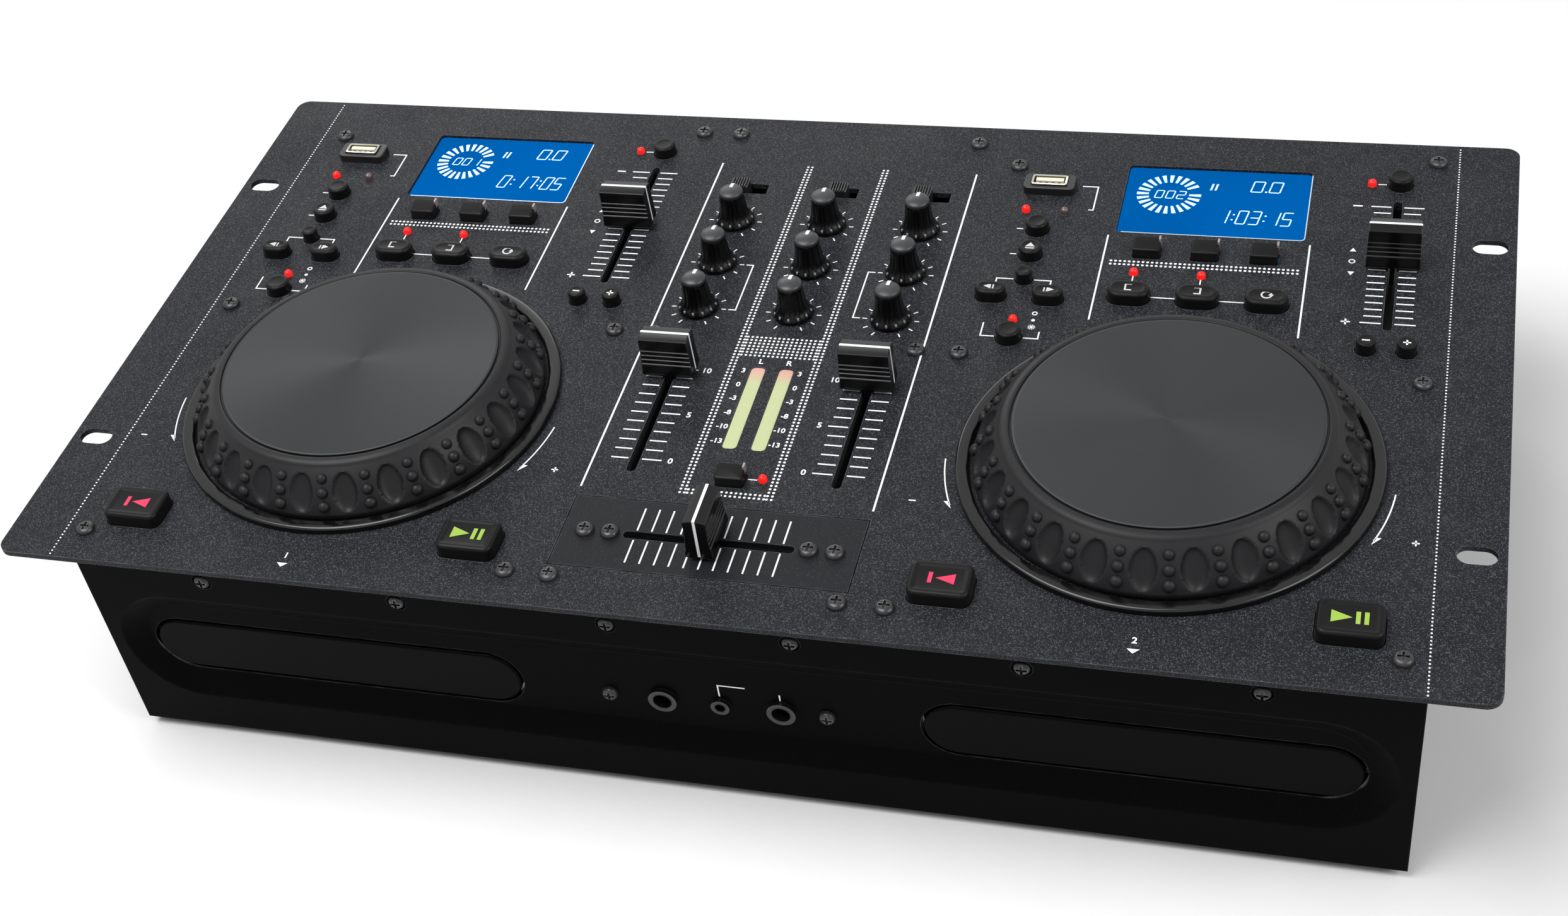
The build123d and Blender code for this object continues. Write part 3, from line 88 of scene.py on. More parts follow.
def from_front(y: float) -> float:
    """Returns the Y of a point that lies y behind the panel's front edge."""
    return y - PANEL_HALF_DEPTH


def tint(red: int, green: int, blue: int) -> Color:
    """Turns a colour as a screen shows it into the linear values that a shader takes.

    Args:
        red: Red, from 0 to 255.
        green: Green, from 0 to 255.
        blue: Blue, from 0 to 255.

    Returns:
        The linear colour with an alpha of 1.
    """
    def linear(value: int) -> float:
        """Returns one channel in linear light."""
        share = value / 255
        return share / 12.92 if share <= 0.04045 else ((share + 0.055) / 1.055) ** 2.4

    return (linear(red), linear(green), linear(blue), 1.0)


# ---------------------------------------------------------------- outlines
def polar(radius: float, angle: float, x: float = 0.0, y: float = 0.0) -> Flat:
    """Returns the point at a radius and an angle in radians round a middle."""
    return x + radius * math.cos(angle), y + radius * math.sin(angle)


def level(outline: Iterable[Flat], z: float) -> list[Point]:
    """Returns the points of an outline at a height."""
    return [(x, y, z) for x, y in outline]


def circle(radius: float, steps: int = 32, x: float = 0.0, y: float = 0.0) -> list[Flat]:
    """Returns the points of a circle, counter-clockwise."""
    return [polar(radius, math.tau * i / steps, x, y) for i in range(steps)]


def rounded(width: float, depth: float, corner: float, x: float = 0.0, y: float = 0.0,
            steps: int = 8) -> list[Flat]:
    """Draws a rectangle with round corners.

    Args:
        width: Size along X.
        depth: Size along Y.
        corner: Radius of the corners.
        x: X of the middle.
        y: Y of the middle.
        steps: Steps in each corner.

    Returns:
        The points, counter-clockwise.
    """
    corner = max(0.01, min(corner, width / 2 - 0.005, depth / 2 - 0.005))
    points = []
    for quarter, (side_x, side_y) in enumerate(((1, 1), (-1, 1), (-1, -1), (1, -1))):
        for i in range(steps + 1):
            points.append(polar(corner, math.pi / 2 * (quarter + i / steps),
                                x + side_x * (width / 2 - corner), y + side_y * (depth / 2 - corner)))
    return points


def arc(radius: float, first: float, last: float, steps: int, x: float = 0.0, y: float = 0.0) -> list[Flat]:
    """Returns the points of an arc from the first angle to the last, in degrees."""
    angles = [math.radians(first + (last - first) * i / steps) for i in range(steps + 1)]
    return [polar(radius, angle, x, y) for angle in angles]


def pointing(points: Sequence[Flat], way: int) -> list[Flat]:
    """Returns an outline as it is, or turned round where it was mirrored and way is negative."""
    return list(points) if way > 0 else list(points[::-1])


# ---------------------------------------------------------------- forms
class Form:
    """The points and faces of one piece while it is being made, in millimetres."""

    def __init__(self) -> None:
        """Starts with nothing."""
        self.points: list[Point] = []
        self.faces: list[tuple[int, ...]] = []

    def add(self, points: Sequence[Point], faces: Iterable[Sequence[int]]) -> "Form":
        """Adds points and faces.

        Args:
            points: The new points.
            faces: Faces that count from the first of the new points.

        Returns:
            The form.
        """
        start = len(self.points)
        self.points += points
        self.faces += [tuple(start + i for i in face) for face in faces]
        return self

    def rings(self, rings: Sequence[Sequence[Point]], looped: bool = False) -> "Form":
        """Joins rings of points into one closed skin.

        Args:
            rings: Rings with the same number of points, each counter-clockwise seen from the last one.
            looped: Whether the last ring joins the first; if not, both ends are capped.

        Returns:
            The form.
        """
        count = len(rings[0])
        pairs = [(r, (r + 1) % len(rings)) for r in range(len(rings) if looped else len(rings) - 1)]
        faces = [(a * count + i, a * count + (i + 1) % count, b * count + (i + 1) % count, b * count + i)
                 for a, b in pairs for i in range(count)]
        if not looped:
            last = (len(rings) - 1) * count
            faces += [tuple(reversed(range(count))), tuple(range(last, last + count))]
        return self.add([point for ring in rings for point in ring], faces)

    def prism(self, outline: Sequence[Flat], low: float, high: float) -> "Form":
        """Adds an upright prism over an outline."""
        return self.rings([level(outline, z) for z in (low, high)])

    def block(self, x: float, y: float, width: float, depth: float, low: float, high: float) -> "Form":
        """Adds a block whose middle is at x and y."""
        sides = ((-1, -1), (1, -1), (1, 1), (-1, 1))
        return self.prism([(x + i * width / 2, y + j * depth / 2) for i, j in sides], low, high)

    def turned(self, profile: Sequence[Flat], x: float = 0.0, y: float = 0.0, steps: int = 48,
               looped: bool = False) -> "Form":
        """Adds a turned shape with an upright axis.

        Args:
            profile: Radius and height of each ring, from the bottom up on the outside.
            x: X of the axis.
            y: Y of the axis.
            steps: Points in each ring.
            looped: Whether the profile closes on itself round a hole.

        Returns:
            The form.
        """
        return self.rings([level(circle(radius, steps, x, y), z) for radius, z in profile], looped)

    def stroke(self, path: Sequence[Flat], width: float, low: float = PRINT_LOW, high: float = PRINT_HIGH,
               closed: bool = False) -> "Form":
        """Adds a flat line of even width with mitred corners.

        Args:
            path: The points that it follows.
            width: Its width.
            low: Height of its underside.
            high: Height of its top.
            closed: Whether the last point joins the first.

        Returns:
            The form.
        """
        count = len(path)
        sections = []
        for i, (x, y) in enumerate(path):
            before = path[i - 1] if i or closed else None
            after = path[(i + 1) % count] if i < count - 1 or closed else None
            legs = [Vector((b[0] - a[0], b[1] - a[1])).normalized()
                    for a, b in ((before, (x, y)), ((x, y), after)) if a and b]
            along = sum(legs, Vector((0, 0))).normalized()
            reach = width / 2 / max(MITRE_LIMIT, along.dot(legs[0]))
            aside = Vector((-along.y, along.x)) * reach
            right = (x - aside.x, y - aside.y)
            left = (x + aside.x, y + aside.y)
            sections.append([(*right, low), (*left, low), (*left, high), (*right, high)])
        return self.rings(sections, closed)

    def glyphs(self, text: str, x: float, y: float, size: float, low: float = PRINT_LOW,
               high: float = PRINT_HIGH) -> "Form":
        """Adds plain figures or signs, centred on a point.

        Args:
            text: The figures or signs.
            x: X of the middle.
            y: Y of the middle.
            size: Height of the type.
            low: Height of the underside.
            high: Height of the top.

        Returns:
            The form.
        """
        curve = bpy.data.curves.new("type", "FONT")
        curve.body = text
        curve.size = size
        curve.offset = size * TYPE_WEIGHT
        curve.align_x = "CENTER"
        curve.align_y = "CENTER"
        curve.extrude = (high - low) / 2
        curve.resolution_u = 3
        holder = bpy.data.objects.new("type", curve)
        mesh = bpy.data.meshes.new_from_object(holder)
        middle = (low + high) / 2
        self.add([(v.co.x + x, v.co.y + y, v.co.z + middle) for v in mesh.vertices],
                 [tuple(p.vertices) for p in mesh.polygons])
        bpy.data.objects.remove(holder)
        bpy.data.meshes.remove(mesh)
        return self

    def placed(self, matrix: Matrix) -> "Form":
        """Moves every point by a matrix."""
        self.points = [tuple(matrix @ Vector(point)) for point in self.points]
        return self

    def join(self, other: "Form") -> "Form":
        """Adds all of another form."""
        return self.add(other.points, other.faces)

    def piece(self, name: str, material: bpy.types.Material, body: str = CASE, slot: str | None = None,
              replaces: Sequence[str] = (), sharp: float = 40.0) -> bpy.types.Object:
        """Makes the object and lets it ride on its body.

        Args:
            name: Name of the piece.
            material: Its finish.
            body: The CAD body that it moves with.
            slot: Name of a material slot; it is not used.
            replaces: CAD nodes that it stands for.
            sharp: Angle in degrees over which an edge stays sharp.

        Returns:
            The new object.
        """
        mesh = bpy.data.meshes.new(name)
        mesh.from_pydata([(x * MM, y * MM, z * MM) for x, y, z in self.points], [], self.faces)
        mesh.materials.append(material)
        mesh.shade_smooth()
        mesh.set_sharp_from_angle(angle=math.radians(sharp))
        piece = bpy.data.objects.new(name, mesh)
        bpy.context.scene.collection.objects.link(piece)
        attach(piece, body)
        if replaces:
            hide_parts(*replaces)
        return piece


def upright(face_y: float) -> Matrix:
    """Returns the matrix that stands a flat form up on a face that looks to the front at face_y."""
    return Matrix(((1, 0, 0, 0), (0, 0, -1, face_y), (0, 1, 0, 0), (0, 0, 0, 1)))


def upright_rear(face_y: float) -> Matrix:
    """Returns the matrix that stands a flat form up on a face that looks to the back at face_y."""
    return Matrix(((-1, 0, 0, 0), (0, 0, 1, face_y), (0, 1, 0, 0), (0, 0, 0, 1)))


# ---------------------------------------------------------------- shared effects
class Effect(Enum):
    """Effects that several finishes share, each one a node group."""
    GRAIN = "surface_grain"
    SPECKLE = "fine_speckle"
    # Edges lightened partly as wear and partly as a painted highlight.
    EDGE = "worn_edge"
    DUST = "settled_dust"
    BRUSH = "brushed_lines"


class Graph:
    """Places nodes in a tree and links them."""

    def __init__(self, tree: bpy.types.NodeTree) -> None:
        """Keeps the tree."""
        self.tree = tree

    def feed(self, node: bpy.types.Node, values: dict[str | int, object]) -> None:
        """Gives a node its inputs.

        Args:
            node: The node.
            values: Input values by name or place; an output socket is linked instead.
        """
        for key, value in values.items():
            if isinstance(value, bpy.types.NodeSocket):
                self.tree.links.new(value, node.inputs[key])
            else:
                node.inputs[key].default_value = value

    def node(self, kind: str, values: dict[str | int, object] | None = None,
             **settings: object) -> bpy.types.Node:
        """Adds a node.

        Args:
            kind: The node's type without its prefix.
            values: Input values by name or place; an output socket is linked instead.
            settings: Properties of the node.

        Returns:
            The node.
        """
        made = self.tree.nodes.new("ShaderNode" + kind)
        for key, value in settings.items():
            setattr(made, key, value)
        self.feed(made, values or {})
        return made

    def noise(self, scale: object, detail: float = 2.0, place: object = None) -> bpy.types.NodeSocket:
        """Adds a noise over the object's own coordinates.

        Args:
            scale: Size of the noise, per metre.
            detail: How fine it goes.
            place: Coordinates to use instead.

        Returns:
            The noise's value.
        """
        vector = place or self.object_place()
        return self.node("TexNoise", {"Vector": vector, "Scale": scale, "Detail": detail}).outputs[0]

    def object_place(self) -> bpy.types.NodeSocket:
        """Returns the object's own coordinates."""
        return self.node("TexCoord").outputs["Object"]

    def math(self, operation: str, first: object, second: object = 0.0) -> bpy.types.NodeSocket:
        """Adds a sum on two values or sockets and returns its result."""
        return self.node("Math", {0: first, 1: second}, operation=operation).outputs[0]

    def remap(self, value: object, low: object, high: object, new_low: object = 0.0,
              new_high: object = 1.0) -> bpy.types.NodeSocket:
        """Maps one range of values to another and returns the result."""
        return self.node("MapRange", {"Value": value, "From Min": low, "From Max": high,
                                      "To Min": new_low, "To Max": new_high}).outputs[0]

    def mix(self, share: object, first: object, second: object) -> bpy.types.NodeSocket:
        """Mixes two colours and returns the result."""
        return self.node("Mix", {0: share, 6: first, 7: second}, data_type="RGBA").outputs[2]


def new_group(effect: Effect, inputs: Sequence[tuple[str, str, object]],
              outputs: Sequence[tuple[str, str]]) -> tuple[Graph, bpy.types.Node, bpy.types.Node]:
    """Makes an empty node group with its sockets.

    Args:
        effect: Which effect it holds.
        inputs: Name, kind and default of each input.
        outputs: Name and kind of each output.

    Returns:
        The graph, its input node and its output node.
    """
    tree = bpy.data.node_groups.new(effect.value, "ShaderNodeTree")
    for name, kind, default in inputs:
        socket = tree.interface.new_socket(name, in_out="INPUT", socket_type="NodeSocket" + kind)
        socket.default_value = default
    for name, kind in outputs:
        tree.interface.new_socket(name, in_out="OUTPUT", socket_type="NodeSocket" + kind)
    return Graph(tree), tree.nodes.new("NodeGroupInput"), tree.nodes.new("NodeGroupOutput")


def new_material(name: str) -> tuple[bpy.types.Material, bpy.types.Node, Graph]:
    """Makes a material.

    Args:
        name: Its name.

    Returns:
        The material, its Principled shader and its graph.
    """
    material = bpy.data.materials.new(name)
    material.use_nodes = True
    return material, material.node_tree.nodes["Principled BSDF"], Graph(material.node_tree)


def build_grain() -> None:
    """Builds the group that varies colour and roughness like a coat or a moulding."""
    graph, given, result = new_group(
        Effect.GRAIN,
        [("Color", "Color", (0.1, 0.1, 0.1, 1)), ("Tone", "Float", 0.1), ("Scale", "Float", 900.0),
         ("Roughness", "Float", 0.5), ("Spread", "Float", 0.08)],
        [("Color", "Color"), ("Roughness", "Float"), ("Height", "Float")])
    values = given.outputs
    fine, broad = graph.noise(values["Scale"], 3.0), graph.noise(23.0)
    both = graph.math("ADD", graph.math("MULTIPLY", fine, 0.6), graph.math("MULTIPLY", broad, 0.4))
    low, high = graph.math("SUBTRACT", 1.0, values["Tone"]), graph.math("ADD", 1.0, values["Tone"])
    value = graph.remap(both, 0.32, 0.68, low, high)
    smooth = graph.math("SUBTRACT", values["Roughness"], values["Spread"])
    rough = graph.math("ADD", values["Roughness"], values["Spread"])
    graph.feed(result, {
        "Color": graph.node("HueSaturation", {"Color": values["Color"], "Value": value}).outputs[0],
        "Roughness": graph.remap(broad, 0.3, 0.7, smooth, rough),
        "Height": fine})


def build_speckle() -> None:
    """Builds the group that scatters fine specks."""
    graph, given, result = new_group(Effect.SPECKLE, [("Scale", "Float", 3000.0), ("Cover", "Float", 0.4)],
                                     [("Mask", "Float"), ("Height", "Float")])
    noise = graph.noise(given.outputs["Scale"], 1.0)
    start = graph.math("SUBTRACT", 0.72, graph.math("MULTIPLY", given.outputs["Cover"], 0.35))
    end = graph.math("ADD", start, 0.07)
    graph.feed(result, {"Mask": graph.remap(noise, start, end), "Height": noise})


def build_edge_wear_and_highlight() -> None:
    """Builds the group that finds edges, which are lightened partly as wear by hands and cases and partly as
    a painted highlight.
    """
    graph, given, result = new_group(Effect.EDGE, [("Reach", "Float", 0.0006), ("Breakup", "Float", 160.0)],
                                     [("Mask", "Float")])
    soft = graph.node("Bevel", {"Radius": given.outputs["Reach"]}, samples=4).outputs[0]
    true = graph.node("NewGeometry").outputs["Normal"]
    same = graph.node("VectorMath", {0: soft, 1: true}, operation="DOT_PRODUCT").outputs["Value"]
    edge = graph.remap(graph.math("SUBTRACT", 1.0, same), 0.02, 0.25)
    # Breaks up the lightened edge, which is partly wear and partly a painted highlight.
    worn_and_lit_patches = graph.remap(graph.noise(given.outputs["Breakup"], 4.0), 0.35, 0.65, 0.15, 1.0)
    graph.feed(result, {"Mask": graph.math("MULTIPLY", edge, worn_and_lit_patches)})


def build_dust() -> None:
    """Builds the group that finds where a little dust settles."""
    graph, given, result = new_group(Effect.DUST, [("Scale", "Float", 60.0)], [("Mask", "Float")])
    cloud = graph.remap(graph.noise(given.outputs["Scale"], 8.0), 0.45, 0.8)
    up = graph.node("SeparateXYZ", {0: graph.node("NewGeometry").outputs["Normal"]}).outputs[2]
    graph.feed(result, {"Mask": graph.math("MULTIPLY", cloud, graph.remap(up, 0.2, 1.0))})


def build_brush() -> None:
    """Builds the group that draws fine lines along X."""
    graph, given, result = new_group(Effect.BRUSH, [("Scale", "Float", 900.0)],
                                     [("Height", "Float"), ("Roughness", "Float")])
    along = graph.node("Mapping", {"Vector": graph.object_place(), "Scale": (0.02, 1.0, 1.0)}).outputs[0]
    lines = graph.noise(given.outputs["Scale"], 4.0, along)
    graph.feed(result, {"Height": lines, "Roughness": graph.remap(lines, 0.3, 0.7, 0.22, 0.42)})


def build_effects() -> None:
    """Builds all shared node groups."""
    for build in (build_grain, build_speckle, build_edge_wear_and_highlight, build_dust, build_brush):
        build()


def effect(graph: Graph, which: Effect, **values: object) -> bpy.types.Node:
    """Places a shared effect in a material with its own values."""
    return graph.node("Group", {key.capitalize(): value for key, value in values.items()},
                      node_tree=bpy.data.node_groups[which.value])


# ---------------------------------------------------------------- finishes
@dataclass(frozen=True)
class Finish:
    """A coated, moulded or metal surface.

    Attributes:
        name: Name of the material.
        color: Its main colour.
        roughness: Middle roughness.
        metallic: 1 for bare metal.
        tone: How far the colour varies.
        spread: How far the roughness varies.
        grain: Size of the grain, per metre.
        bump: Strength of the grain's relief.
        depth_mm: Height of that relief.
        specks: Share of light specks in the coat.
        speck_color: Colour of the specks.
        wear_and_highlight: How far the edges are lightened, partly as rubbing and partly as a painted
            highlight.
        wear_and_highlight_color: Colour of a lightened edge, worn and painted as a highlight.
        dust: How much dust lies on it.
        dust_color: Colour of the dust.
        brushed: Whether fine lines run along it.
        coat: Weight of a clear coat.
        coat_roughness: Roughness of the clear coat.
        specular: Specular level.
        sheen: Weight of a soft sheen.
    """
    name: str
    color: Color
    roughness: float
    metallic: float = 0.0
    tone: float = 0.12
    spread: float = 0.06
    grain: float = 900.0
    bump: float = 0.15
    depth_mm: float = 0.05
    specks: float = 0.0
    speck_color: Color = tint(110, 112, 118)
    wear_and_highlight: float = 0.0
    wear_and_highlight_color: Color = tint(120, 122, 126)
    dust: float = 0.0
    dust_color: Color = tint(150, 148, 142)
    brushed: bool = False
    coat: float = 0.0
    coat_roughness: float = 0.1
    specular: float = 0.5
    sheen: float = 0.0

    def build(self) -> bpy.types.Material:
        """Builds the material.

        Returns:
            The material.
        """
        material, shader, graph = new_material(self.name)
        grain = effect(graph, Effect.GRAIN, color=self.color, tone=self.tone, scale=self.grain,
                       roughness=self.roughness, spread=self.spread)
        color, height = grain.outputs["Color"], grain.outputs["Height"]
        roughness = grain.outputs["Roughness"]
        if self.specks:
            speckle = effect(graph, Effect.SPECKLE, cover=self.specks)
            share = graph.math("MULTIPLY", speckle.outputs["Mask"], 0.8)
            color = graph.mix(share, color, self.speck_color)
            height = graph.math("ADD", height, speckle.outputs["Height"])
        # Lightens the edges: partly wear, partly a painted highlight.
        if self.wear_and_highlight:
            edge = effect(graph, Effect.EDGE)
            color = graph.mix(graph.math("MULTIPLY", edge.outputs["Mask"], self.wear_and_highlight), color, self.wear_and_highlight_color)
        if self.dust:
            dust = effect(graph, Effect.DUST)
            share = graph.math("MULTIPLY", dust.outputs["Mask"], self.dust)
            color = graph.mix(share, color, self.dust_color)
        if self.brushed:
            brush = effect(graph, Effect.BRUSH)
            height, roughness = brush.outputs["Height"], brush.outputs["Roughness"]
        relief = graph.node("Bump", {"Strength": self.bump, "Distance": self.depth_mm * MM, "Height": height})
        graph.feed(shader, {"Base Color": color, "Roughness": roughness, "Normal": relief.outputs[0],
                            "Metallic": self.metallic, "Coat Weight": self.coat,
                            "Coat Roughness": self.coat_roughness, "Specular IOR Level": self.specular,
                            "Sheen Weight": self.sheen})
        return material


@dataclass(frozen=True)
class Glow:
    """A lit surface: a lamp, a screen or the marks on it.

    Attributes:
        name: Name of the material.
        color: Colour of the light.
        base: Colour of the surface itself.
        strength: Strength of the light.
        dim: Darkest share of the light over the surface.
        scale: Size of that change, per metre.
        roughness: Roughness of the surface.
        specular: Specular level.
    """
    name: str
    color: Color
    base: Color
    strength: float = 1.0
    dim: float = 0.85
    scale: float = 14.0
    roughness: float = 0.25
    specular: float = 0.3

    def build(self) -> bpy.types.Material:
        """Builds the material.

        Returns:
            The material.
        """
        material, shader, graph = new_material(self.name)
        grain = effect(graph, Effect.GRAIN, color=self.color, tone=0.03, scale=self.scale * 40,
                       roughness=self.roughness, spread=0.03)
        darker = tuple(c * self.dim for c in self.color[:3]) + (1.0,)
        light = graph.mix(graph.remap(graph.noise(self.scale), 0.35, 0.65), darker, grain.outputs["Color"])
        graph.feed(shader, {"Emission Color": light, "Roughness": grain.outputs["Roughness"],
                            "Base Color": self.base, "Emission Strength": self.strength,
                            "Specular IOR Level": self.specular})
        return material


@dataclass(frozen=True)
class MeterLens:
    """The frosted bars of the level meters: pale green that turns pink at the loud end.

    Attributes:
        name: Name of the material.
        green: Colour of most of the bar.
        pink: Colour of its loud end.
        turn: Share of the bar at which the colour starts to turn.
        end: Share at which it has turned.
        strength: Strength of the faint light in it.
    """
    name: str = "meter_lens"
    green: Color = tint(172, 180, 134)
    pink: Color = tint(196, 150, 136)
    turn: float = 0.80
    end: float = 0.97
    strength: float = 0.12

    def build(self) -> bpy.types.Material:
        """Builds the material.

        Returns:
            The material.
        """
        material, shader, graph = new_material(self.name)
        along = graph.node("SeparateXYZ", {0: graph.node("TexCoord").outputs["Generated"]}).outputs[1]
        green = effect(graph, Effect.GRAIN, color=self.green, tone=0.03, scale=500.0, roughness=0.4,
                       spread=0.05)
        color = graph.mix(graph.remap(along, self.turn, self.end), green.outputs["Color"], self.pink)
        graph.feed(shader, {"Base Color": color, "Emission Color": color, "Emission Strength": self.strength,
                            "Roughness": green.outputs["Roughness"]})
        return material


@dataclass(frozen=True)
class SpunPlate:
    """A dark plate turned on a lathe, whose fine rings fan the light out from its middle.

    Attributes:
        name: Name of the material.
        color: Colour of the plate.
        roughness: Middle roughness.
        metallic: How metallic the paint is.
        lean: How far the rings draw the light out.
    """
    name: str = "spun_plate"
    color: Color = tint(49, 50, 51)
    roughness: float = 0.5
    metallic: float = 0.7
    lean: float = 0.6

    def build(self) -> bpy.types.Material:
        """Builds the material.

        Returns:
            The material.
        """
        material, shader, graph = new_material(self.name)
        grain = effect(graph, Effect.GRAIN, color=self.color, tone=0.06, scale=1500.0,
                       roughness=self.roughness, spread=0.03)
        across = graph.node("Tangent", direction_type="RADIAL", axis="Z").outputs[0]
        graph.feed(shader, {"Base Color": grain.outputs["Color"], "Roughness": grain.outputs["Roughness"],
                            "Tangent": across, "Metallic": self.metallic, "Anisotropic": self.lean})
        return material


@dataclass(frozen=True)
class BoardCoat:
    """A circuit board with green mask, and the black parts that stand on it.

    Attributes:
        name: Name of the material.
        green: Colour of the board.
        black: Colour of the parts.
        parts_from: Height from which everything is black, in millimetres.
    """
    name: str = "board_coat"
    green: Color = tint(22, 84, 46)
    black: Color = tint(16, 15, 14)
    parts_from: float = 85.0

    def build(self) -> bpy.types.Material:
        """Builds the material.

        Returns:
            The material.
        """
        material, shader, graph = new_material(self.name)
        grain = effect(graph, Effect.GRAIN, color=self.green, tone=0.2, scale=300.0, roughness=0.45,
                       spread=0.1)
        up = graph.node("SeparateXYZ", {0: graph.object_place()}).outputs[2]
        part = graph.math("GREATER_THAN", up, self.parts_from * MM)
        graph.feed(shader, {"Base Color": graph.mix(part, grain.outputs["Color"], self.black),
                            "Roughness": grain.outputs["Roughness"]})
        return material


class Finishes:
    """Every finish of the console, built once."""

    def __init__(self) -> None:
        """Builds the shared effects and all materials."""
        build_effects()
        # The edge lightening given to these finishes is partly wear and partly a painted highlight.
        self.panel = Finish("panel_coat", tint(22, 23, 26), 0.52, tone=0.10, grain=1100.0, bump=0.22,
                            depth_mm=0.06, specks=0.42, speck_color=tint(84, 86, 92), wear_and_highlight=0.5, dust=0.02,
                            specular=0.12).build()
        self.inset = Finish("inset_coat", tint(23, 24, 27), 0.46, tone=0.08, grain=1400.0, bump=0.10,
                            depth_mm=0.03, specks=0.2, speck_color=tint(60, 62, 66), wear_and_highlight=0.5,
                            specular=0.14).build()
        self.front = Finish("front_coat", tint(6, 6, 7), 0.42, tone=0.08, grain=1400.0, bump=0.10,
                            depth_mm=0.03, specks=0.08, speck_color=tint(28, 28, 31), wear_and_highlight=0.4,
                            specular=0.02).build()
        self.case = Finish("case_coat", tint(17, 17, 19), 0.48, tone=0.10, grain=1200.0, bump=0.18,
                           depth_mm=0.05, specks=0.25, speck_color=tint(56, 56, 60), wear_and_highlight=0.45, dust=0.04,
                           specular=0.28).build()
        self.foot = Finish("foot_rubber", tint(26, 26, 26), 0.8, tone=0.15, grain=500.0, bump=0.3).build()
        self.screw = Finish("screw_black", tint(50, 50, 52), 0.30, metallic=0.45, tone=0.15, bump=0.1,
                            wear_and_highlight=0.8, wear_and_highlight_color=tint(150, 150, 150)).build()
        self.ring = Finish("ring_gloss", tint(10, 10, 11), 0.16, tone=0.05, spread=0.03, bump=0.03,
                           specular=0.4).build()
        self.wheel = Finish("wheel_moulding", tint(25, 25, 27), 0.44, tone=0.08, grain=700.0, bump=0.10,
                            depth_mm=0.04, wear_and_highlight=0.25, wear_and_highlight_color=tint(78, 79, 84), specular=0.2).build()
        self.plate = SpunPlate().build()
        self.rubber = Finish("key_rubber", tint(8, 8, 9), 0.40, tone=0.08, grain=1500.0, bump=0.12,
                             depth_mm=0.03, wear_and_highlight=0.25, wear_and_highlight_color=tint(60, 61, 64), specular=0.14,
                             sheen=0.03).build()
        self.knob = Finish("knob_moulding", tint(5, 5, 6), 0.26, tone=0.08, grain=1500.0, bump=0.08,
                           depth_mm=0.03, wear_and_highlight=0.2, wear_and_highlight_color=tint(60, 60, 64), specular=0.2).build()
        # The knob's own black, painted lighter on the dome as its sheen.
        self.dome = Finish("knob_dome_sheen", tint(36, 37, 39), 0.40, tone=0.06, grain=1500.0, bump=0.08,
                           depth_mm=0.02, wear_and_highlight=0.2).build()
        # Pale dots that paint the glints on the flute ends.
        self.dot = Finish("knob_dot_glints", tint(122, 124, 128), 0.4, tone=0.06, bump=0.04).build()
        self.cap = Finish("cap_moulding", tint(6, 6, 7), 0.24, tone=0.08, grain=1300.0, bump=0.08,
                          depth_mm=0.03, wear_and_highlight=0.3, wear_and_highlight_color=tint(112, 113, 118), specular=0.26).build()
        self.socket = Finish("socket_moulding", tint(20, 20, 21), 0.42, tone=0.08, bump=0.08,
                             wear_and_highlight=0.3).build()
        self.jack = Finish("jack_moulding", tint(14, 14, 15), 0.25, tone=0.06, bump=0.05, wear_and_highlight=0.3).build()
        self.tray = Finish("tray_moulding", tint(6, 6, 7), 0.28, tone=0.06, grain=1500.0, bump=0.06,
                           depth_mm=0.03, wear_and_highlight=0.3, specular=0.03).build()
        self.steel = Finish("zinc_sheet", tint(176, 178, 180), 0.35, metallic=1.0, tone=0.1, brushed=True,
                            bump=0.12, depth_mm=0.02).build()
        self.nickel = Finish("nickel", tint(200, 196, 186), 0.22, metallic=1.0, tone=0.08, bump=0.04).build()
        self.tongue = Finish("cream_plastic", tint(226, 220, 196), 0.5, tone=0.05, bump=0.05).build()
        self.ink = Finish("white_ink", tint(240, 242, 244), 0.55, tone=0.04, grain=2500.0, bump=0.10,
                          depth_mm=0.02).build()
        self.gray_ink = Finish("gray_ink", tint(196, 198, 200), 0.55, tone=0.05, bump=0.05).build()
        self.red_ring = Finish("red_plastic", tint(190, 30, 26), 0.4, tone=0.05, bump=0.05).build()
        self.white_ring = Finish("white_plastic", tint(226, 226, 222), 0.4, tone=0.05, bump=0.05).build()
        self.platter = Finish("turntable_plastic", tint(120, 121, 124), 0.45, tone=0.08, bump=0.08).build()
        # A pale strip that paints the highlight of the window's cut edge.
        self.edge = Finish("window_edge_highlight", tint(190, 206, 220), 0.3, metallic=0.4, tone=0.05,
                           bump=0.02).build()
        # Clear plastic, coloured pale as a painted reflection.
        self.guide = Finish("light_guide_glint", tint(150, 138, 140), 0.2, tone=0.06, bump=0.02).build()
        self.dark_lamp = Finish("dark_lamp", tint(88, 66, 66), 0.25, tone=0.1, bump=0.02, coat=0.4).build()
        self.lit_lamp = Glow("lit_lamp", tint(240, 30, 24), tint(150, 10, 8), strength=1.1, dim=0.75,
                             scale=700.0).build()
        self.screen = Glow("lit_screen", tint(0, 104, 190), tint(0, 22, 48), strength=0.9, dim=0.84,
                           scale=12.0, roughness=0.35, specular=0.0).build()
        self.figures = Glow("screen_figures", tint(214, 240, 255), tint(120, 160, 190), strength=0.95,
                            dim=0.95).build()
        self.play_mark = Glow("play_mark", tint(176, 214, 84), tint(80, 100, 40), strength=0.75,
                              dim=0.9).build()
        self.cue_mark = Glow("cue_mark", tint(240, 62, 104), tint(120, 30, 50), strength=0.85,
                             dim=0.9).build()
        self.meter = MeterLens().build()
        self.board = BoardCoat().build()


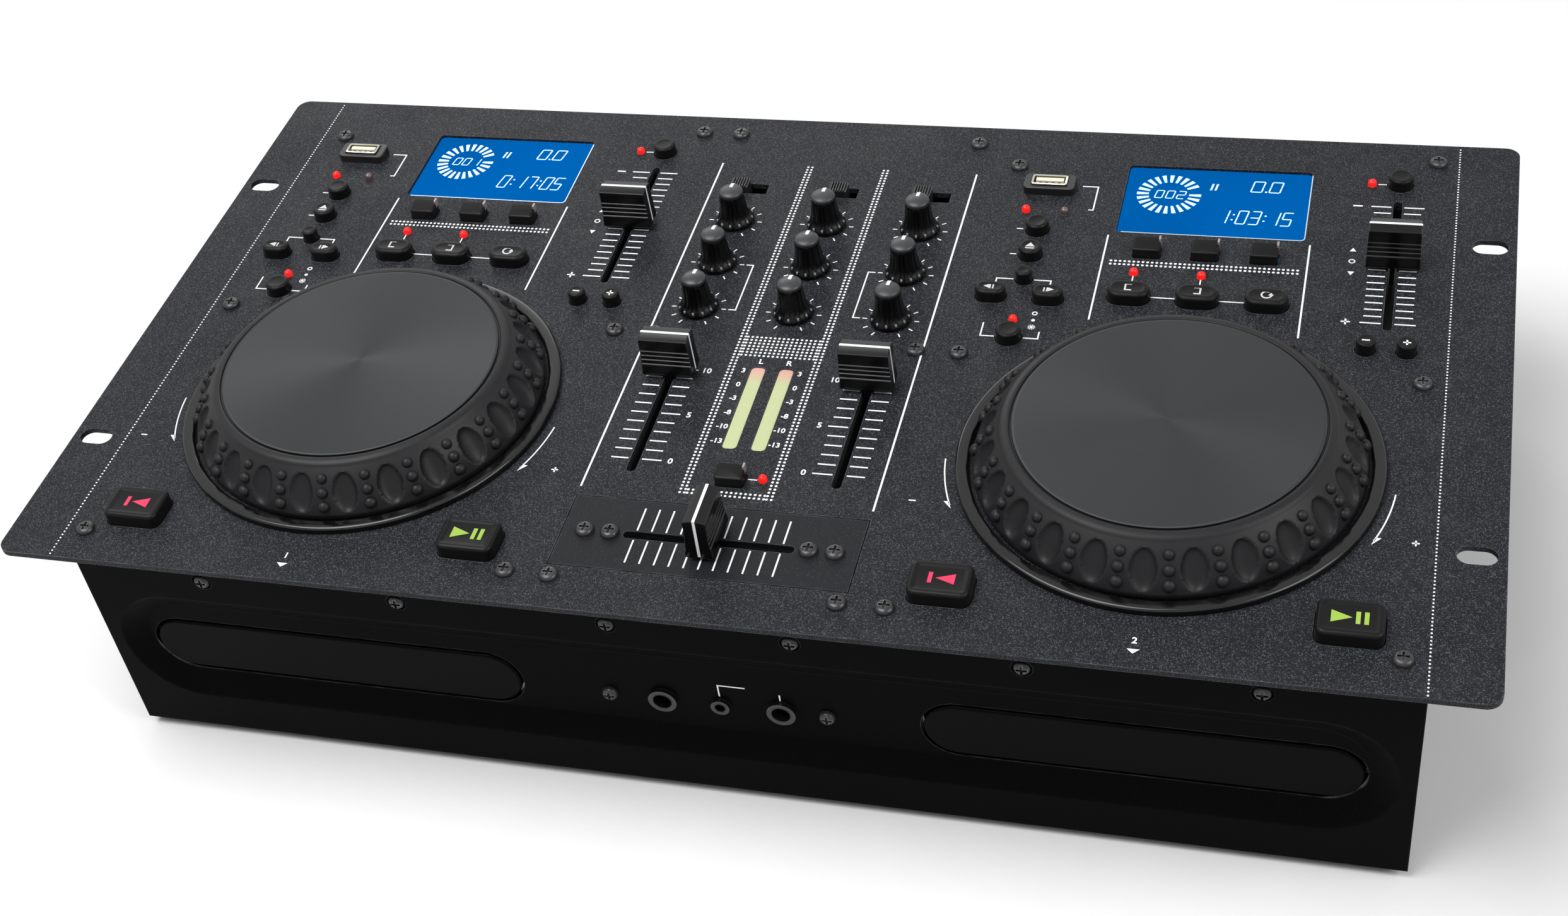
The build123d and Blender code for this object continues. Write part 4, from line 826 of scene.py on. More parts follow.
# ---------------------------------------------------------------- carried-over CAD nodes
@dataclass
class Carcass:
    """The CAD nodes whose own shape shows, with the finish of each."""
    finishes: Finishes
    sharp: float = 32.0

    def table(self) -> dict[str, bpy.types.Material]:
        """Matches nodes and finishes.

        Returns:
            The finish of each node, by the node's name.
        """
        f = self.finishes
        table = {"top_panel": f.panel, "crossfader_plate": f.inset, "front_panel": f.front,
                 "base_tray": f.case, "rubber_feet": f.foot, "case_screws": f.screw, "lcd_displays": f.screen,
                 "indicator_leds": f.dark_lamp, "level_meters": f.meter, "usb_sockets": f.socket,
                 "jog_rings": f.ring, "jog_spindles": f.steel, "front_jacks": f.jack,
                 "rear_connectors": f.jack, "control_board": f.board, "power_supply": f.board,
                 "disc_drives": f.steel, "power_switch": f.socket, "crossfader": f.cap,
                 "fader_start_key": f.rubber}
        for n in (1, 2):
            table |= {f"jog_wheel_{n}": f.wheel, f"disc_tray_{n}": f.tray, f"turntable_{n}": f.platter,
                      f"pitch_fader_{n}": f.cap, f"channel_fader_{n}": f.cap}
            table |= {f"{name}_{n}": f.rubber
                      for name in ("cue_button", "play_button", "loop_keys", "display_keys", "track_keys",
                                   "pitch_bend_keys", "pitch_key", "media_keys", "jog_mode_key")}
        table |= {f"knob_{n}": f.knob for n in range(1, 10)}
        table |= {f"slide_switch_{n}": f.socket for n in (1, 2, 3)}
        return table

    def build(self) -> None:
        """Gives each node its finish and smooth rounds."""
        for name, material in self.table().items():
            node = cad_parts[name]
            node.data.materials.clear()
            node.data.materials.append(material)
            node.data.shade_smooth()
            node.data.set_sharp_from_angle(angle=math.radians(self.sharp))
            log.info("carried over %s", name)


# ---------------------------------------------------------------- jog wheels
@dataclass
class JogWheel:
    """One jog wheel: a grip with dimples and bumps, and a spun plate on top.

    Heights count from the panel's top, and shares from the foot of the grip's slope to its lip.

    Attributes:
        number: Number of the deck.
        x: X of the wheel's axis.
        finishes: The console's finishes.
        y: Y of the wheel's axis.
        sectors: Dimples round the grip.
        steps_per_sector: Points round the grip for each of them.
        slope_steps: Rings over the slope.
        rim_radius: Radius at the slope's foot.
        lip_radius: Radius at its lip.
        slope_low: Height of the foot.
        slope_high: Height of the lip.
        bulge: How far the slope swells in its middle.
        outward: Outward and upward part of the slope's normal.
        underside: Radius and height of each ring under the slope.
        lip: Radius and height of each ring over it.
        dimple_half_length: Half of a dimple's length along the slope.
        dimple_half_width: Half of its width.
        dimple_depth: Its depth.
        dimple_middle: Share at which its middle is.
        bump_radius: Middle radius of a bump.
        bump_places: Share at which each bump of a row is.
        bump_size: Size of a bump at the foot and at the lip, of the middle radius.
        bump_flatness: Height of a bump, of its radius.
        plate_radius: Radius of the plate.
        plate_top: Height of the plate.
    """
    number: int
    x: float
    finishes: Finishes
    y: float = from_front(WHEEL_Y)
    sectors: int = 24
    steps_per_sector: int = 28
    slope_steps: int = 34
    rim_radius: float = 61.5
    lip_radius: float = 52.6
    slope_low: float = 3.0
    slope_high: float = 16.8
    bulge: float = 1.3
    outward: Flat = (0.83, 0.55)
    underside: tuple[Flat, ...] = ((1.0, 12.0), (50.0, 12.0), (57.8, 2.6), (58.6, 0.9), (60.9, 0.9),
                                   (61.4, 1.3), (61.5, 2.4))
    lip: tuple[Flat, ...] = ((52.3, 17.2), (51.8, 17.65), (51.0, 18.0), (50.0, 18.2), (49.4, 18.2),
                             (49.1, 18.0), (49.0, 17.6), (48.0, 17.6), (1.0, 17.6))
    dimple_half_length: float = 6.6
    dimple_half_width: float = 4.1
    dimple_depth: float = 2.1
    dimple_middle: float = 0.47
    bump_radius: float = 2.05
    bump_places: tuple[float, ...] = (0.19, 0.48, 0.77)
    bump_size: Flat = (1.1, 0.85)
    bump_flatness: float = 0.85
    plate_radius: float = 48.6
    plate_top: float = 18.5

    def slope(self, share: float, depth: float = 0.0) -> Flat:
        """Finds a place on the slope.

        Args:
            share: How far up the slope it is.
            depth: How deep it lies under the skin.

        Returns:
            Its radius and height.
        """
        out = self.bulge * math.sin(math.pi * share) - depth
        return (self.rim_radius + (self.lip_radius - self.rim_radius) * share + out * self.outward[0],
                self.slope_low + (self.slope_high - self.slope_low) * share + out * self.outward[1])

    def dimple(self, angle: float, share: float) -> float:
        """Finds how deep the dimples are.

        Args:
            angle: Angle from the nearest dimple's middle.
            share: How far up the slope it is.

        Returns:
            The depth under the skin.
        """
        length = math.hypot(self.rim_radius - self.lip_radius, self.slope_high - self.slope_low)
        across = angle * self.slope(share)[0] / self.dimple_half_width
        along = (share - self.dimple_middle) * length / self.dimple_half_length
        inside = 1 - across * across - along * along
        return self.dimple_depth * math.sqrt(inside) if inside > 0 else 0.0

    def grip(self) -> Form:
        """Makes the skin of the grip, from its underside over the lip to under the plate.

        Returns:
            The form.
        """
        count = self.sectors * self.steps_per_sector
        pitch = math.tau / self.sectors
        slope = []
        for j in range(self.slope_steps + 1):
            ring = []
            for i in range(count):
                angle = math.tau * i / count
                depth = self.dimple((angle + pitch / 2) % pitch - pitch / 2, j / self.slope_steps)
                reach, height = self.slope(j / self.slope_steps, depth)
                ring.append((*polar(reach, angle, self.x, self.y), PANEL_TOP + height))
            slope.append(ring)
        underside, lip = ([level(circle(radius, count, self.x, self.y), PANEL_TOP + height)
                           for radius, height in profile] for profile in (self.underside, self.lip))
        return Form().rings([*underside, *slope, *lip])

    def bumps(self) -> Form:
        """Makes the rows of round bumps between the dimples.

        Returns:
            The form.
        """
        form = Form()
        out, up = self.outward
        lean = Vector((out, 0.0, up)).to_track_quat("Z", "Y").to_matrix().to_4x4()
        first, last = self.bump_size
        for sector in range(self.sectors):
            turn = Matrix.Rotation(math.tau * (sector + 0.5) / self.sectors, 4, "Z")
            for share in self.bump_places:
                radius, height = self.slope(share)
                size = self.bump_radius * (first + (last - first) * share)
                angles = [math.radians(a) for a in (-25, 5, 25, 45, 62, 78)]
                dome = Form().turned([(size * math.cos(a), size * self.bump_flatness * math.sin(a))
                                      for a in angles], steps=14)
                form.join(dome.placed(turn @ Matrix.Translation((radius, 0, height)) @ lean))
        return form.placed(Matrix.Translation((self.x, self.y, PANEL_TOP)))

    def plate(self) -> Form:
        """Makes the plate with its round edge.

        Returns:
            The form.
        """
        r, top = self.plate_radius, PANEL_TOP + self.plate_top
        edge = [(r - 0.4, top - 0.8), (r - 0.1, top - 0.5), (r - 0.1, top - 0.25), (r - 0.35, top),
                (r - 1.2, top)]
        return Form().turned(edge, self.x, self.y, 160)

    def build(self) -> None:
        """Builds the wheel's pieces."""
        n, body, f = self.number, f"jog_wheel_{self.number}", self.finishes
        self.grip().piece(f"jog_grip_{n}", f.wheel, body, "wheel_black", [body], sharp=50)
        self.bumps().piece(f"jog_bumps_{n}", f.wheel, body, "wheel_black")
        self.plate().piece(f"jog_plate_{n}", f.plate, body, "wheel_black", sharp=60)
        log.info("jog wheel %d", n)


@dataclass
class JogRings:
    """The glossy rings round both wheels, with even rounds that draw one clean line of light."""
    finishes: Finishes
    y: float = from_front(WHEEL_Y)
    outer_radius: float = 67.2
    inner_radius: float = 62.7
    height: float = 2.6
    rounding: float = 1.1
    round_steps: int = 7
    steps: int = 200

    def profile(self) -> list[Flat]:
        """Draws half of a ring's section, up the outside and down the inside.

        Returns:
            The radius and height of each corner.
        """
        top = PANEL_TOP + self.height - self.rounding
        corners = arc(self.rounding, 0, 90, self.round_steps, self.outer_radius - self.rounding, top)
        corners += arc(self.rounding, 90, 180, self.round_steps, self.inner_radius + self.rounding, top)
        return [(self.outer_radius, PANEL_TOP), *corners, (self.inner_radius, PANEL_TOP)]

    def build(self) -> None:
        """Builds both rings."""
        form = Form()
        for x in DECK_CENTRES:
            form.turned(self.profile(), x, self.y, self.steps, looped=True)
        form.piece("jog_ring_skins", self.finishes.ring, CASE, "ring_gloss", ["jog_rings"], sharp=50)
        log.info("jog rings")


# ---------------------------------------------------------------- keys
@dataclass
class KeyCap:
    """One moulded key in plan, and the profile of its edge.

    Attributes:
        x: X of its middle.
        y: Y of its middle, from the panel's front edge.
        width: Size along X.
        depth: Size along Y.
        corner: Radius of the corners.
        height: Height over the panel.
        shoulder: Radius of the round at its top edge.
        dish: How deep its top is dished.
        root: How far it reaches under the panel's top.
    """
    x: float
    y: float
    width: float
    depth: float
    corner: float
    height: float
    shoulder: float = 1.1
    dish: float = 0.25
    root: float = ROOT

    def form(self) -> Form:
        """Makes the key as one closed skin.

        Returns:
            The form.
        """
        s, h = self.shoulder, self.height
        levels = [(0.0, -self.root), (0.0, 0.0), (0.1, h - s * 1.6)]
        levels += [(0.12 + s * (1 - math.cos(math.radians(a))), h - s + s * math.sin(math.radians(a)))
                   for a in (0, 15, 30, 45, 60, 75, 90)]
        levels += [(s + 0.5, h - 0.02), (s + 1.0, h - self.dish * 0.6), (s + 1.7, h - self.dish)]
        rings = []
        for inset, z in levels:
            inset = min(inset, min(self.width, self.depth) / 2 - 0.25)
            outline = rounded(self.width - 2 * inset, self.depth - 2 * inset, self.corner - inset,
                              self.x, from_front(self.y))
            rings.append(level(outline, PANEL_TOP + z))
        return Form().rings(rings)

    def face(self, sunk: float = 0.26, proud: float = 0.18) -> Flat:
        """Returns the underside and the top of a sign on the key, given from the key's height down."""
        return PANEL_TOP + self.height - sunk, PANEL_TOP + self.height - proud


@dataclass
class SlopedKey:
    """A key whose top falls to the front, with a clear light guide beside it, coloured pale as a painted
    reflection.
    """
    x: float
    y: float
    width: float = 9.5
    depth: float = 6.5
    height: float = 5.0
    fall: float = 1.3
    corner: float = 0.8
    root: float = ROOT

    def form(self) -> Form:
        """Makes the key as one closed skin.

        Returns:
            The form.
        """
        rings = []
        for inset, rise in ((0.0, -1.0), (0.0, 0.86), (0.12, 0.93), (0.35, 0.98), (0.7, 1.0)):
            outline = rounded(self.width - 2 * inset, self.depth - 2 * inset, self.corner - inset * 0.6,
                              steps=4)
            ring = []
            for px, py in outline:
                top = self.height - self.fall * (0.5 - py / self.depth)
                z = -self.root if rise < 0 else top * rise
                ring.append((self.x + px, from_front(self.y) + py, PANEL_TOP + z))
            rings.append(ring)
        return Form().rings(rings)

    def guide(self) -> Form:
        """Makes the light guide on the key's right side, whose pale colour is a painted reflection.

        Returns:
            The form.
        """
        x = self.x + self.width / 2 + 0.02
        return Form().block(x - 0.3, from_front(self.y) + 2.0, 0.7, 2.2, PANEL_TOP + 2.6, PANEL_TOP + 5.5)


@dataclass
class Keys:
    """All keys of one deck, with the marks on them.

    Attributes:
        number: Number of the deck.
        x: X of the deck's middle.
        finishes: The console's finishes.
        column_x: X of the keys at the left, from the deck's middle.
        pad_x: X of the large pads to both sides of it.
        pad_y: Their Y.
        loop_pitch: Distance between the loop keys.
        loop_y: Their Y.
        display_pitch: Distance between the keys under the display.
        display_y: Their Y.
        select_y: Y of the select key.
        eject_y: Y of the eject key.
        bend_x: X of the middle between the pitch bend keys.
        bend_y: Their Y.
        line: Width of the signs' lines.
    """
    number: int
    x: float
    finishes: Finishes
    column_x: float = -60.6
    pad_x: float = 60.4
    pad_y: float = 24.1
    loop_pitch: float = 23.2
    loop_y: float = 169.3
    display_pitch: float = 20.2
    display_y: float = 194.5
    select_y: float = 204.5
    eject_y: float = 189.8
    bend_x: float = 63.4
    bend_y: float = 149.2
    line: float = 0.6

    def group(self, name: str, caps: Sequence[KeyCap]) -> None:
        """Builds the keys that share a CAD node.

        Args:
            name: Name of the node without the deck's number.
            caps: The keys.
        """
        body = f"{name}_{self.number}"
        form = Form()
        for cap in caps:
            form.join(cap.form())
        form.piece(f"{body}_caps", self.finishes.rubber, body, "key_rubber", [body], sharp=60)
        log.info("keys %s", body)

    def marks(self, name: str, form: Form, material: bpy.types.Material) -> None:
        """Builds the marks printed on the keys of a CAD node, given without the deck's number."""
        body = f"{name}_{self.number}"
        form.piece(f"{body}_marks", material, body)

    def pads(self) -> None:
        """Builds the two large pads with their lit signs."""
        cue, play = (KeyCap(self.x + side * self.pad_x, self.pad_y, 20.0, 14.5, 3.0, 5.0, shoulder=1.3,
                            dish=0.35) for side in (-1, 1))
        self.group("cue_button", [cue])
        self.group("play_button", [play])
        low, high = play.face(0.45, 0.25)
        x, y = play.x, from_front(play.y)
        sign = Form().prism([(x - 5.6, y - 2.4), (x + 0.4, y), (x - 5.6, y + 2.4)], low, high)
        for shift in (2.1, 4.5):
            sign.block(x + shift, y, 1.3, 4.8, low, high)
        self.marks("play_button", sign, self.finishes.play_mark)
        x = cue.x
        sign = Form().prism([(x + 4.6, y - 2.2), (x + 4.6, y + 2.2), (x - 1.4, y)], low, high)
        sign.block(x - 3.1, y, 1.3, 4.4, low, high)
        self.marks("cue_button", sign, self.finishes.cue_mark)

    def loop_row(self) -> None:
        """Builds the loop keys with plain bracket signs."""
        caps = [KeyCap(self.x + side * self.loop_pitch, self.loop_y, 15.0, 9.0, 4.5, 4.5, shoulder=1.5)
                for side in (-1, 0, 1)]
        self.group("loop_keys", caps)
        low, high = caps[0].face()
        y = from_front(self.loop_y + 0.3)
        left, middle, right = (cap.x for cap in caps)
        half, reach = 1.1, 1.6
        form = Form()
        for x, way in ((left, 1), (middle, -1)):
            near, far = x + way * half, x - way * half
            form.stroke([(near, y + reach), (far, y + reach), (far, y - reach), (near, y - reach)], self.line,
                        low, high)
        form.stroke(arc(1.7, 60, 350, 16, right, y), self.line, low, high)
        form.prism([(right + 0.5, y - 0.3), (right + 2.4, y - 0.3), (right + 1.45, y + 1.1)], low, high)
        self.marks("loop_keys", form, self.finishes.gray_ink)

    def column(self) -> None:
        """Builds the round and oval keys at the deck's left."""
        x = self.x + self.column_x
        select, eject = (KeyCap(x, y, 8.5, 8.5, 4.25, 4.2, 1.0) for y in (self.select_y, self.eject_y))
        self.group("media_keys", [select, eject])
        low, high = eject.face()
        y = from_front(self.eject_y)
        sign = Form().prism([(x - 1.7, y - 0.4), (x + 1.7, y - 0.4), (x, y + 1.9)], low, high)
        sign.block(x, y - 1.25, 3.4, self.line, low, high)
        self.marks("media_keys", sign, self.finishes.gray_ink)
        ovals = [KeyCap(x + side * 10, 165.5, 11.0, 7.0, 3.5, 4.5, 1.2) for side in (-1, 1)]
        self.group("track_keys", ovals + [KeyCap(x, 175.5, 6.0, 6.0, 3.0, 4.5, 0.8)])
        low, high = ovals[0].face()
        skips = Form()
        for oval, side in zip(ovals, (-1, 1)):
            y = from_front(oval.y + 0.2)
            tip, foot = oval.x + side * 2.3, oval.x - side * 0.3
            skips.prism(pointing([(foot, y - 1.35), (tip, y), (foot, y + 1.35)], side), low, high)
            skips.block(oval.x - side * 1.1, y, 0.5, 2.7, low, high)
        self.marks("track_keys", skips, self.finishes.gray_ink)
        self.group("jog_mode_key", [KeyCap(x, 144.0, 9.0, 9.0, 4.5, 4.2, 1.1)])

    def pitch_column(self) -> None:
        """Builds the keys round the pitch fader."""
        self.group("pitch_key", [KeyCap(self.x + 63.5, 241.0, 8.7, 8.7, 4.35, 4.2, 1.0)])
        minus, plus = (KeyCap(self.x + self.bend_x + side * 6.5, self.bend_y, 6.6, 6.6, 3.3, 4.5, 0.8)
                       for side in (-1, 1))
        self.group("pitch_bend_keys", [minus, plus])
        low, high = plus.face()
        y, length, width = from_front(self.bend_y), 2.9, 0.55
        signs = Form()
        signs.block(minus.x, y, length, width, low, high)
        signs.block(plus.x, y, length, width, low, high)
        signs.block(plus.x, y, width, length, low, high)
        self.marks("pitch_bend_keys", signs, self.finishes.ink)

    def display_row(self) -> None:
        """Builds the three keys under the display."""
        body = f"display_keys_{self.number}"
        form, guides = Form(), Form()
        for side in (-1, 0, 1):
            key = SlopedKey(self.x + side * self.display_pitch, self.display_y)
            form.join(key.form())
            guides.join(key.guide())
        form.piece(f"{body}_caps", self.finishes.rubber, body, "key_rubber", [body], sharp=35)
        guides.piece(f"{body}_guides", self.finishes.guide, body)
        log.info("keys %s", body)

    def build(self) -> None:
        """Builds every key of the deck."""
        self.pads()
        self.loop_row()
        self.column()
        self.pitch_column()
        self.display_row()


# ---------------------------------------------------------------- faders and knobs
@dataclass
class FaderCap:
    """A fader's cap: ribbed hollow flanks, a roof, and a white line over its ridge and ends.

    Attributes:
        body: Its CAD body.
        x: X of its middle.
        y: Y of its middle, from the panel's front edge.
        finishes: The console's finishes.
        across: Whether it stands across, as on the crossfader.
        half_width: Half of its width at the foot.
        end_lean: How far its ends lean inwards.
        foot: Height of its underside over the panel.
        height: Height of its ridge.
        end_inset: How far the rounds of its ends reach in.
        end_shrink: Share of the section that is left at the ends.
        end_drop: Share of the section's height that is left there.
        profile: Reach from the middle, and height, of each corner of a flank.
        rib_heights: Height of each rib.
        rib_reach: How far a rib stands out.
        rib_half: Half of its thickness.
        stem_low: How deep the lever reaches under the panel's top.
    """
    body: str
    x: float
    y: float
    finishes: Finishes
    across: bool = False
    half_width: float = 9.0
    end_lean: float = 0.4
    foot: float = 1.6
    height: float = 17.4
    end_inset: float = 0.25
    end_shrink: float = 0.955
    end_drop: float = 0.985
    profile: tuple[Flat, ...] = ((4.4, 1.6), (4.7, 1.9), (4.7, 3.2), (4.45, 4.4), (4.15, 6.2), (3.95, 8.4),
                                 (3.85, 10.8), (3.85, 13.6), (3.9, 16.0), (3.85, 16.4), (3.6, 16.65),
                                 (0.6, 17.3), (0.5, 17.36))
    rib_heights: tuple[float, ...] = (6.2, 8.0, 9.8, 11.6)
    rib_reach: float = 0.26
    rib_half: float = 0.17
    stem_low: float = -6.0

    def flank(self, height: float) -> float:
        """Finds how far the flank stands from the middle.

        Args:
            height: The height that is asked for.

        Returns:
            The distance.
        """
        for (a, low), (b, high) in zip(self.profile, self.profile[1:]):
            if low <= height <= high:
                return a + (b - a) * (height - low) / (high - low)
        return self.profile[-1][0]

    def section(self) -> list[Flat]:
        """Draws half of the cap's section with its ribs.

        Returns:
            Reach and height of each corner, from the foot to the ridge.
        """
        points = list(self.profile)
        for height in self.rib_heights:
            for offset, reach in ((-2 * self.rib_half, 0.0), (-self.rib_half * 0.6, self.rib_reach),
                                  (self.rib_half * 0.6, self.rib_reach), (2 * self.rib_half, 0.0)):
                points.append((self.flank(height + offset) + reach, height + offset))
        return sorted(points, key=lambda point: point[1])

    def place(self) -> Matrix:
        """Returns the matrix that puts the cap on the panel."""
        turn = Matrix.Rotation(math.pi / 2 if self.across else 0.0, 4, "Z")
        return Matrix.Translation((self.x, from_front(self.y), PANEL_TOP)) @ turn

    def shell(self) -> Form:
        """Makes the cap's skin.

        Returns:
            The form.
        """
        half = self.section()
        outline = [(-y, z) for y, z in half] + [(y, z) for y, z in reversed(half)]
        end, full = (0.0, self.end_shrink, self.end_drop), (self.end_inset, 1.0, 1.0)
        rings = []
        for side, (inset, shrink, drop) in ((1, end), (1, full), (-1, full), (-1, end)):
            ring = []
            for y, z in outline:
                rise = z - self.foot
                edge = self.half_width - self.end_lean * rise / self.height - inset
                ring.append((side * edge, y * shrink, self.foot + rise * drop))
            rings.append(ring)
        return Form().rings(rings)

    def line(self) -> Form:
        """Makes the white line over the ridge and down both ends.

        Returns:
            The form.
        """
        form = Form()
        top, foot = self.height - 0.08, self.foot + 0.6
        reach = self.half_width - self.end_lean
        form.block(0, 0, 2 * reach - 0.2, 1.0, top - 0.3, top + 0.08)
        half, thick = 0.48, 0.3
        for side in (-1, 1):
            rings = []
            for out, z in ((self.half_width + 0.03 - self.end_lean * 0.1, foot), (reach + 0.05, top)):
                near, far = side * (out - thick), side * out
                corners = [(near, -half), (far, -half), (far, half), (near, half)]
                rings.append(level(pointing(corners, side), z))
            form.rings(rings)
        return form

    def stem(self) -> Form:
        """Returns the lever between the cap and the slot."""
        return Form().block(0, 0, 1.6, 8.0, self.stem_low, 3.0)

    def build(self) -> None:
        """Builds the cap, its line and its lever."""
        f, place = self.finishes, self.place()
        shell = self.shell().join(self.stem()).placed(place)
        shell.piece(f"{self.body}_cap", f.cap, self.body, "fader_black", [self.body], sharp=28)
        self.line().placed(place).piece(f"{self.body}_line", f.ink, self.body)
        log.info("fader cap %s", self.body)


@dataclass
class Knob:
    """A rotary knob: a fluted flare with pale dots that paint the glints of the flute ends, a domed cap
    painted lighter for its sheen, and a white pointer.

    Heights count from the panel's top.

    Attributes:
        number: Number of the knob.
        x: X of its axis.
        y: Y of its axis.
        finishes: The console's finishes.
        flutes: Flutes round the knob.
        steps: Points round the knob.
        flute_depth: Depth of a flute.
        skin: Radius and height of each ring of the flare.
        dome: Radius and height of each ring of the cap.
        dot_circle: Radius of the circle on which the dots stand.
        dot_height: Height of the dots.
        dot_radius: Radius of a dot.
        pointer_path: Reach to the back, height, and how far it stands out, of each place of the pointer.
        pointer_half: Half of the pointer's width.
    """
    number: int
    x: float
    y: float
    finishes: Finishes
    flutes: int = 12
    steps: int = 144
    flute_depth: float = 0.26
    skin: tuple[Flat, ...] = ((7.2, 0.6), (7.3, 1.1), (7.15, 1.8), (6.3, 2.9), (5.7, 3.9), (5.25, 5.4),
                              (4.95, 7.4), (4.75, 9.5), (4.6, 11.3), (4.5, 12.6), (4.3, 12.9))
    dome: tuple[Flat, ...] = ((4.2, 12.4), (4.45, 12.7), (4.45, 13.3), (4.3, 13.8), (3.9, 14.15),
                              (2.6, 14.55), (1.4, 14.75), (0.4, 14.8))
    dot_circle: float = 6.62
    dot_height: float = 2.62
    dot_radius: float = 0.42
    pointer_path: tuple[Point, ...] = ((1.0, 14.78, 0.0), (2.6, 14.55, 0.0), (3.9, 14.15, 0.05),
                                       (4.3, 13.8, 0.12), (4.45, 13.3, 0.14), (4.5, 12.7, 0.14),
                                       (4.62, 11.4, 0.12))
    pointer_half: float = 0.6

    def flute(self, angle: float, height: float) -> float:
        """Finds how deep the flutes are.

        Args:
            angle: Angle round the knob.
            height: Height on the flare.

        Returns:
            The depth under the skin.
        """
        fade = max(0.0, min(1.0, (12.2 - height) / 2.0)) * max(0.0, min(1.0, (height - 1.2) / 1.5))
        wave = 0.5 + 0.5 * math.cos(self.flutes * angle)
        return self.flute_depth * fade * wave ** 4

    def form(self) -> Form:
        """Makes the fluted skin.

        Returns:
            The form.
        """
        angles = [math.tau * i / self.steps for i in range(self.steps)]
        rings = []
        for radius, height in self.skin:
            outline = [polar(radius - self.flute(angle, height), angle, self.x, self.y) for angle in angles]
            rings.append(level(outline, PANEL_TOP + height))
        return Form().rings(rings)

    def cap(self) -> Form:
        """Returns the domed cap, whose lighter finish is a painted sheen."""
        return Form().turned([(radius, PANEL_TOP + z) for radius, z in self.dome], self.x, self.y, 64)

    def dots(self) -> Form:
        """Makes the pale dots at the feet of the flutes, painted glints of the flute ends.

        Returns:
            The form.
        """
        form = Form()
        profile = [(self.dot_radius * share, PANEL_TOP + self.dot_height + z)
                   for share, z in ((1.0, -0.7), (1.0, 0.0), (0.8, 0.14), (0.4, 0.24))]
        for x, y in circle(self.dot_circle, self.flutes, self.x, self.y):
            form.turned(profile, x, y, 12)
        return form

    def pointer(self) -> Form:
        """Makes the white pointer, bent over the cap's rim.

        Returns:
            The form.
        """
        left, right, sunk = self.x - self.pointer_half, self.x + self.pointer_half, 0.3
        sections = []
        for reach, height, out in self.pointer_path:
            y, z = self.y + reach, PANEL_TOP + height
            top = z + 0.16 - out
            sections.append([(right, y - sunk, z - sunk), (left, y - sunk, z - sunk), (left, y + out, top),
                             (right, y + out, top)])
        return Form().rings(sections)

    def build(self) -> None:
        """Builds the knob's pieces."""
        body, f = f"knob_{self.number}", self.finishes
        self.form().piece(f"{body}_moulding", f.knob, body, "knob_black", [body], sharp=55)
        self.cap().piece(f"{body}_dome", f.dome, body, "knob_black", sharp=60)
        self.dots().piece(f"{body}_dots", f.dot, body)
        self.pointer().piece(f"{body}_pointer", f.ink, body)
        log.info("knob %d", self.number)


@dataclass
class SlideNub:
    """The ribbed nub of a slide switch."""
    number: int
    finishes: Finishes
    width: float = 7.0
    depth: float = 5.3
    height: float = 3.5
    ribs: int = 6
    rib_height: float = 0.75
    rib_shares: tuple[float, ...] = (0.05, 0.3, 0.65, 0.92)
    root: float = ROOT

    def form(self) -> Form:
        """Makes the nub as one closed skin, with ribs across its top.

        Returns:
            The form.
        """
        low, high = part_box(f"slide_switch_{self.number}")
        x, y = (low[0] + high[0]) / 2 / MM, (low[1] + high[1]) / 2 / MM
        pitch = (self.width - 1.0) / self.ribs
        outline = [(-self.width / 2, -self.root), (-self.width / 2, self.height - 0.6)]
        for i in range(self.ribs):
            start = 0.5 - self.width / 2 + pitch * i
            drops = (self.rib_height, 0.0, 0.0, self.rib_height)
            outline += [(start + pitch * share, self.height - drop)
                        for share, drop in zip(self.rib_shares, drops)]
        outline += [(self.width / 2, self.height - 0.6), (self.width / 2, -self.root)]
        rings = []
        for side, inset in ((-1, 0.0), (-1, 0.3), (1, 0.3), (1, 0.0)):
            rings.append([(x + px * (1.0 if inset else 0.96), y + side * (self.depth / 2 - inset),
                           PANEL_TOP + (pz if inset else pz - 0.25)) for px, pz in outline])
        return Form().rings(rings)

    def build(self) -> None:
        """Builds the nub."""
        body = f"slide_switch_{self.number}"
        self.form().piece(f"{body}_nub", self.finishes.socket, body, "socket_black", [body], sharp=30)
        log.info("slide switch %d", self.number)


# ---------------------------------------------------------------- displays, lamps and sockets
class Segment(Enum):
    """The seven bars of a figure, each from one corner to another, in shares of its width and height."""
    TOP = ((0, 1), (1, 1))
    UPPER_RIGHT = ((1, 1), (1, 0.5))
    LOWER_RIGHT = ((1, 0.5), (1, 0))
    BOTTOM = ((0, 0), (1, 0))
    LOWER_LEFT = ((0, 0), (0, 0.5))
    UPPER_LEFT = ((0, 0.5), (0, 1))
    MIDDLE = ((0, 0.5), (1, 0.5))


ALL_SEGMENTS = tuple(Segment)
FIGURES = {
    "0": tuple(s for s in ALL_SEGMENTS if s is not Segment.MIDDLE),
    "1": (Segment.UPPER_RIGHT, Segment.LOWER_RIGHT),
    "2": (Segment.TOP, Segment.UPPER_RIGHT, Segment.MIDDLE, Segment.LOWER_LEFT, Segment.BOTTOM),
    "3": (Segment.TOP, Segment.UPPER_RIGHT, Segment.MIDDLE, Segment.LOWER_RIGHT, Segment.BOTTOM),
    "5": (Segment.TOP, Segment.UPPER_LEFT, Segment.MIDDLE, Segment.LOWER_RIGHT, Segment.BOTTOM),
    "7": (Segment.TOP, Segment.UPPER_RIGHT, Segment.LOWER_RIGHT),
}


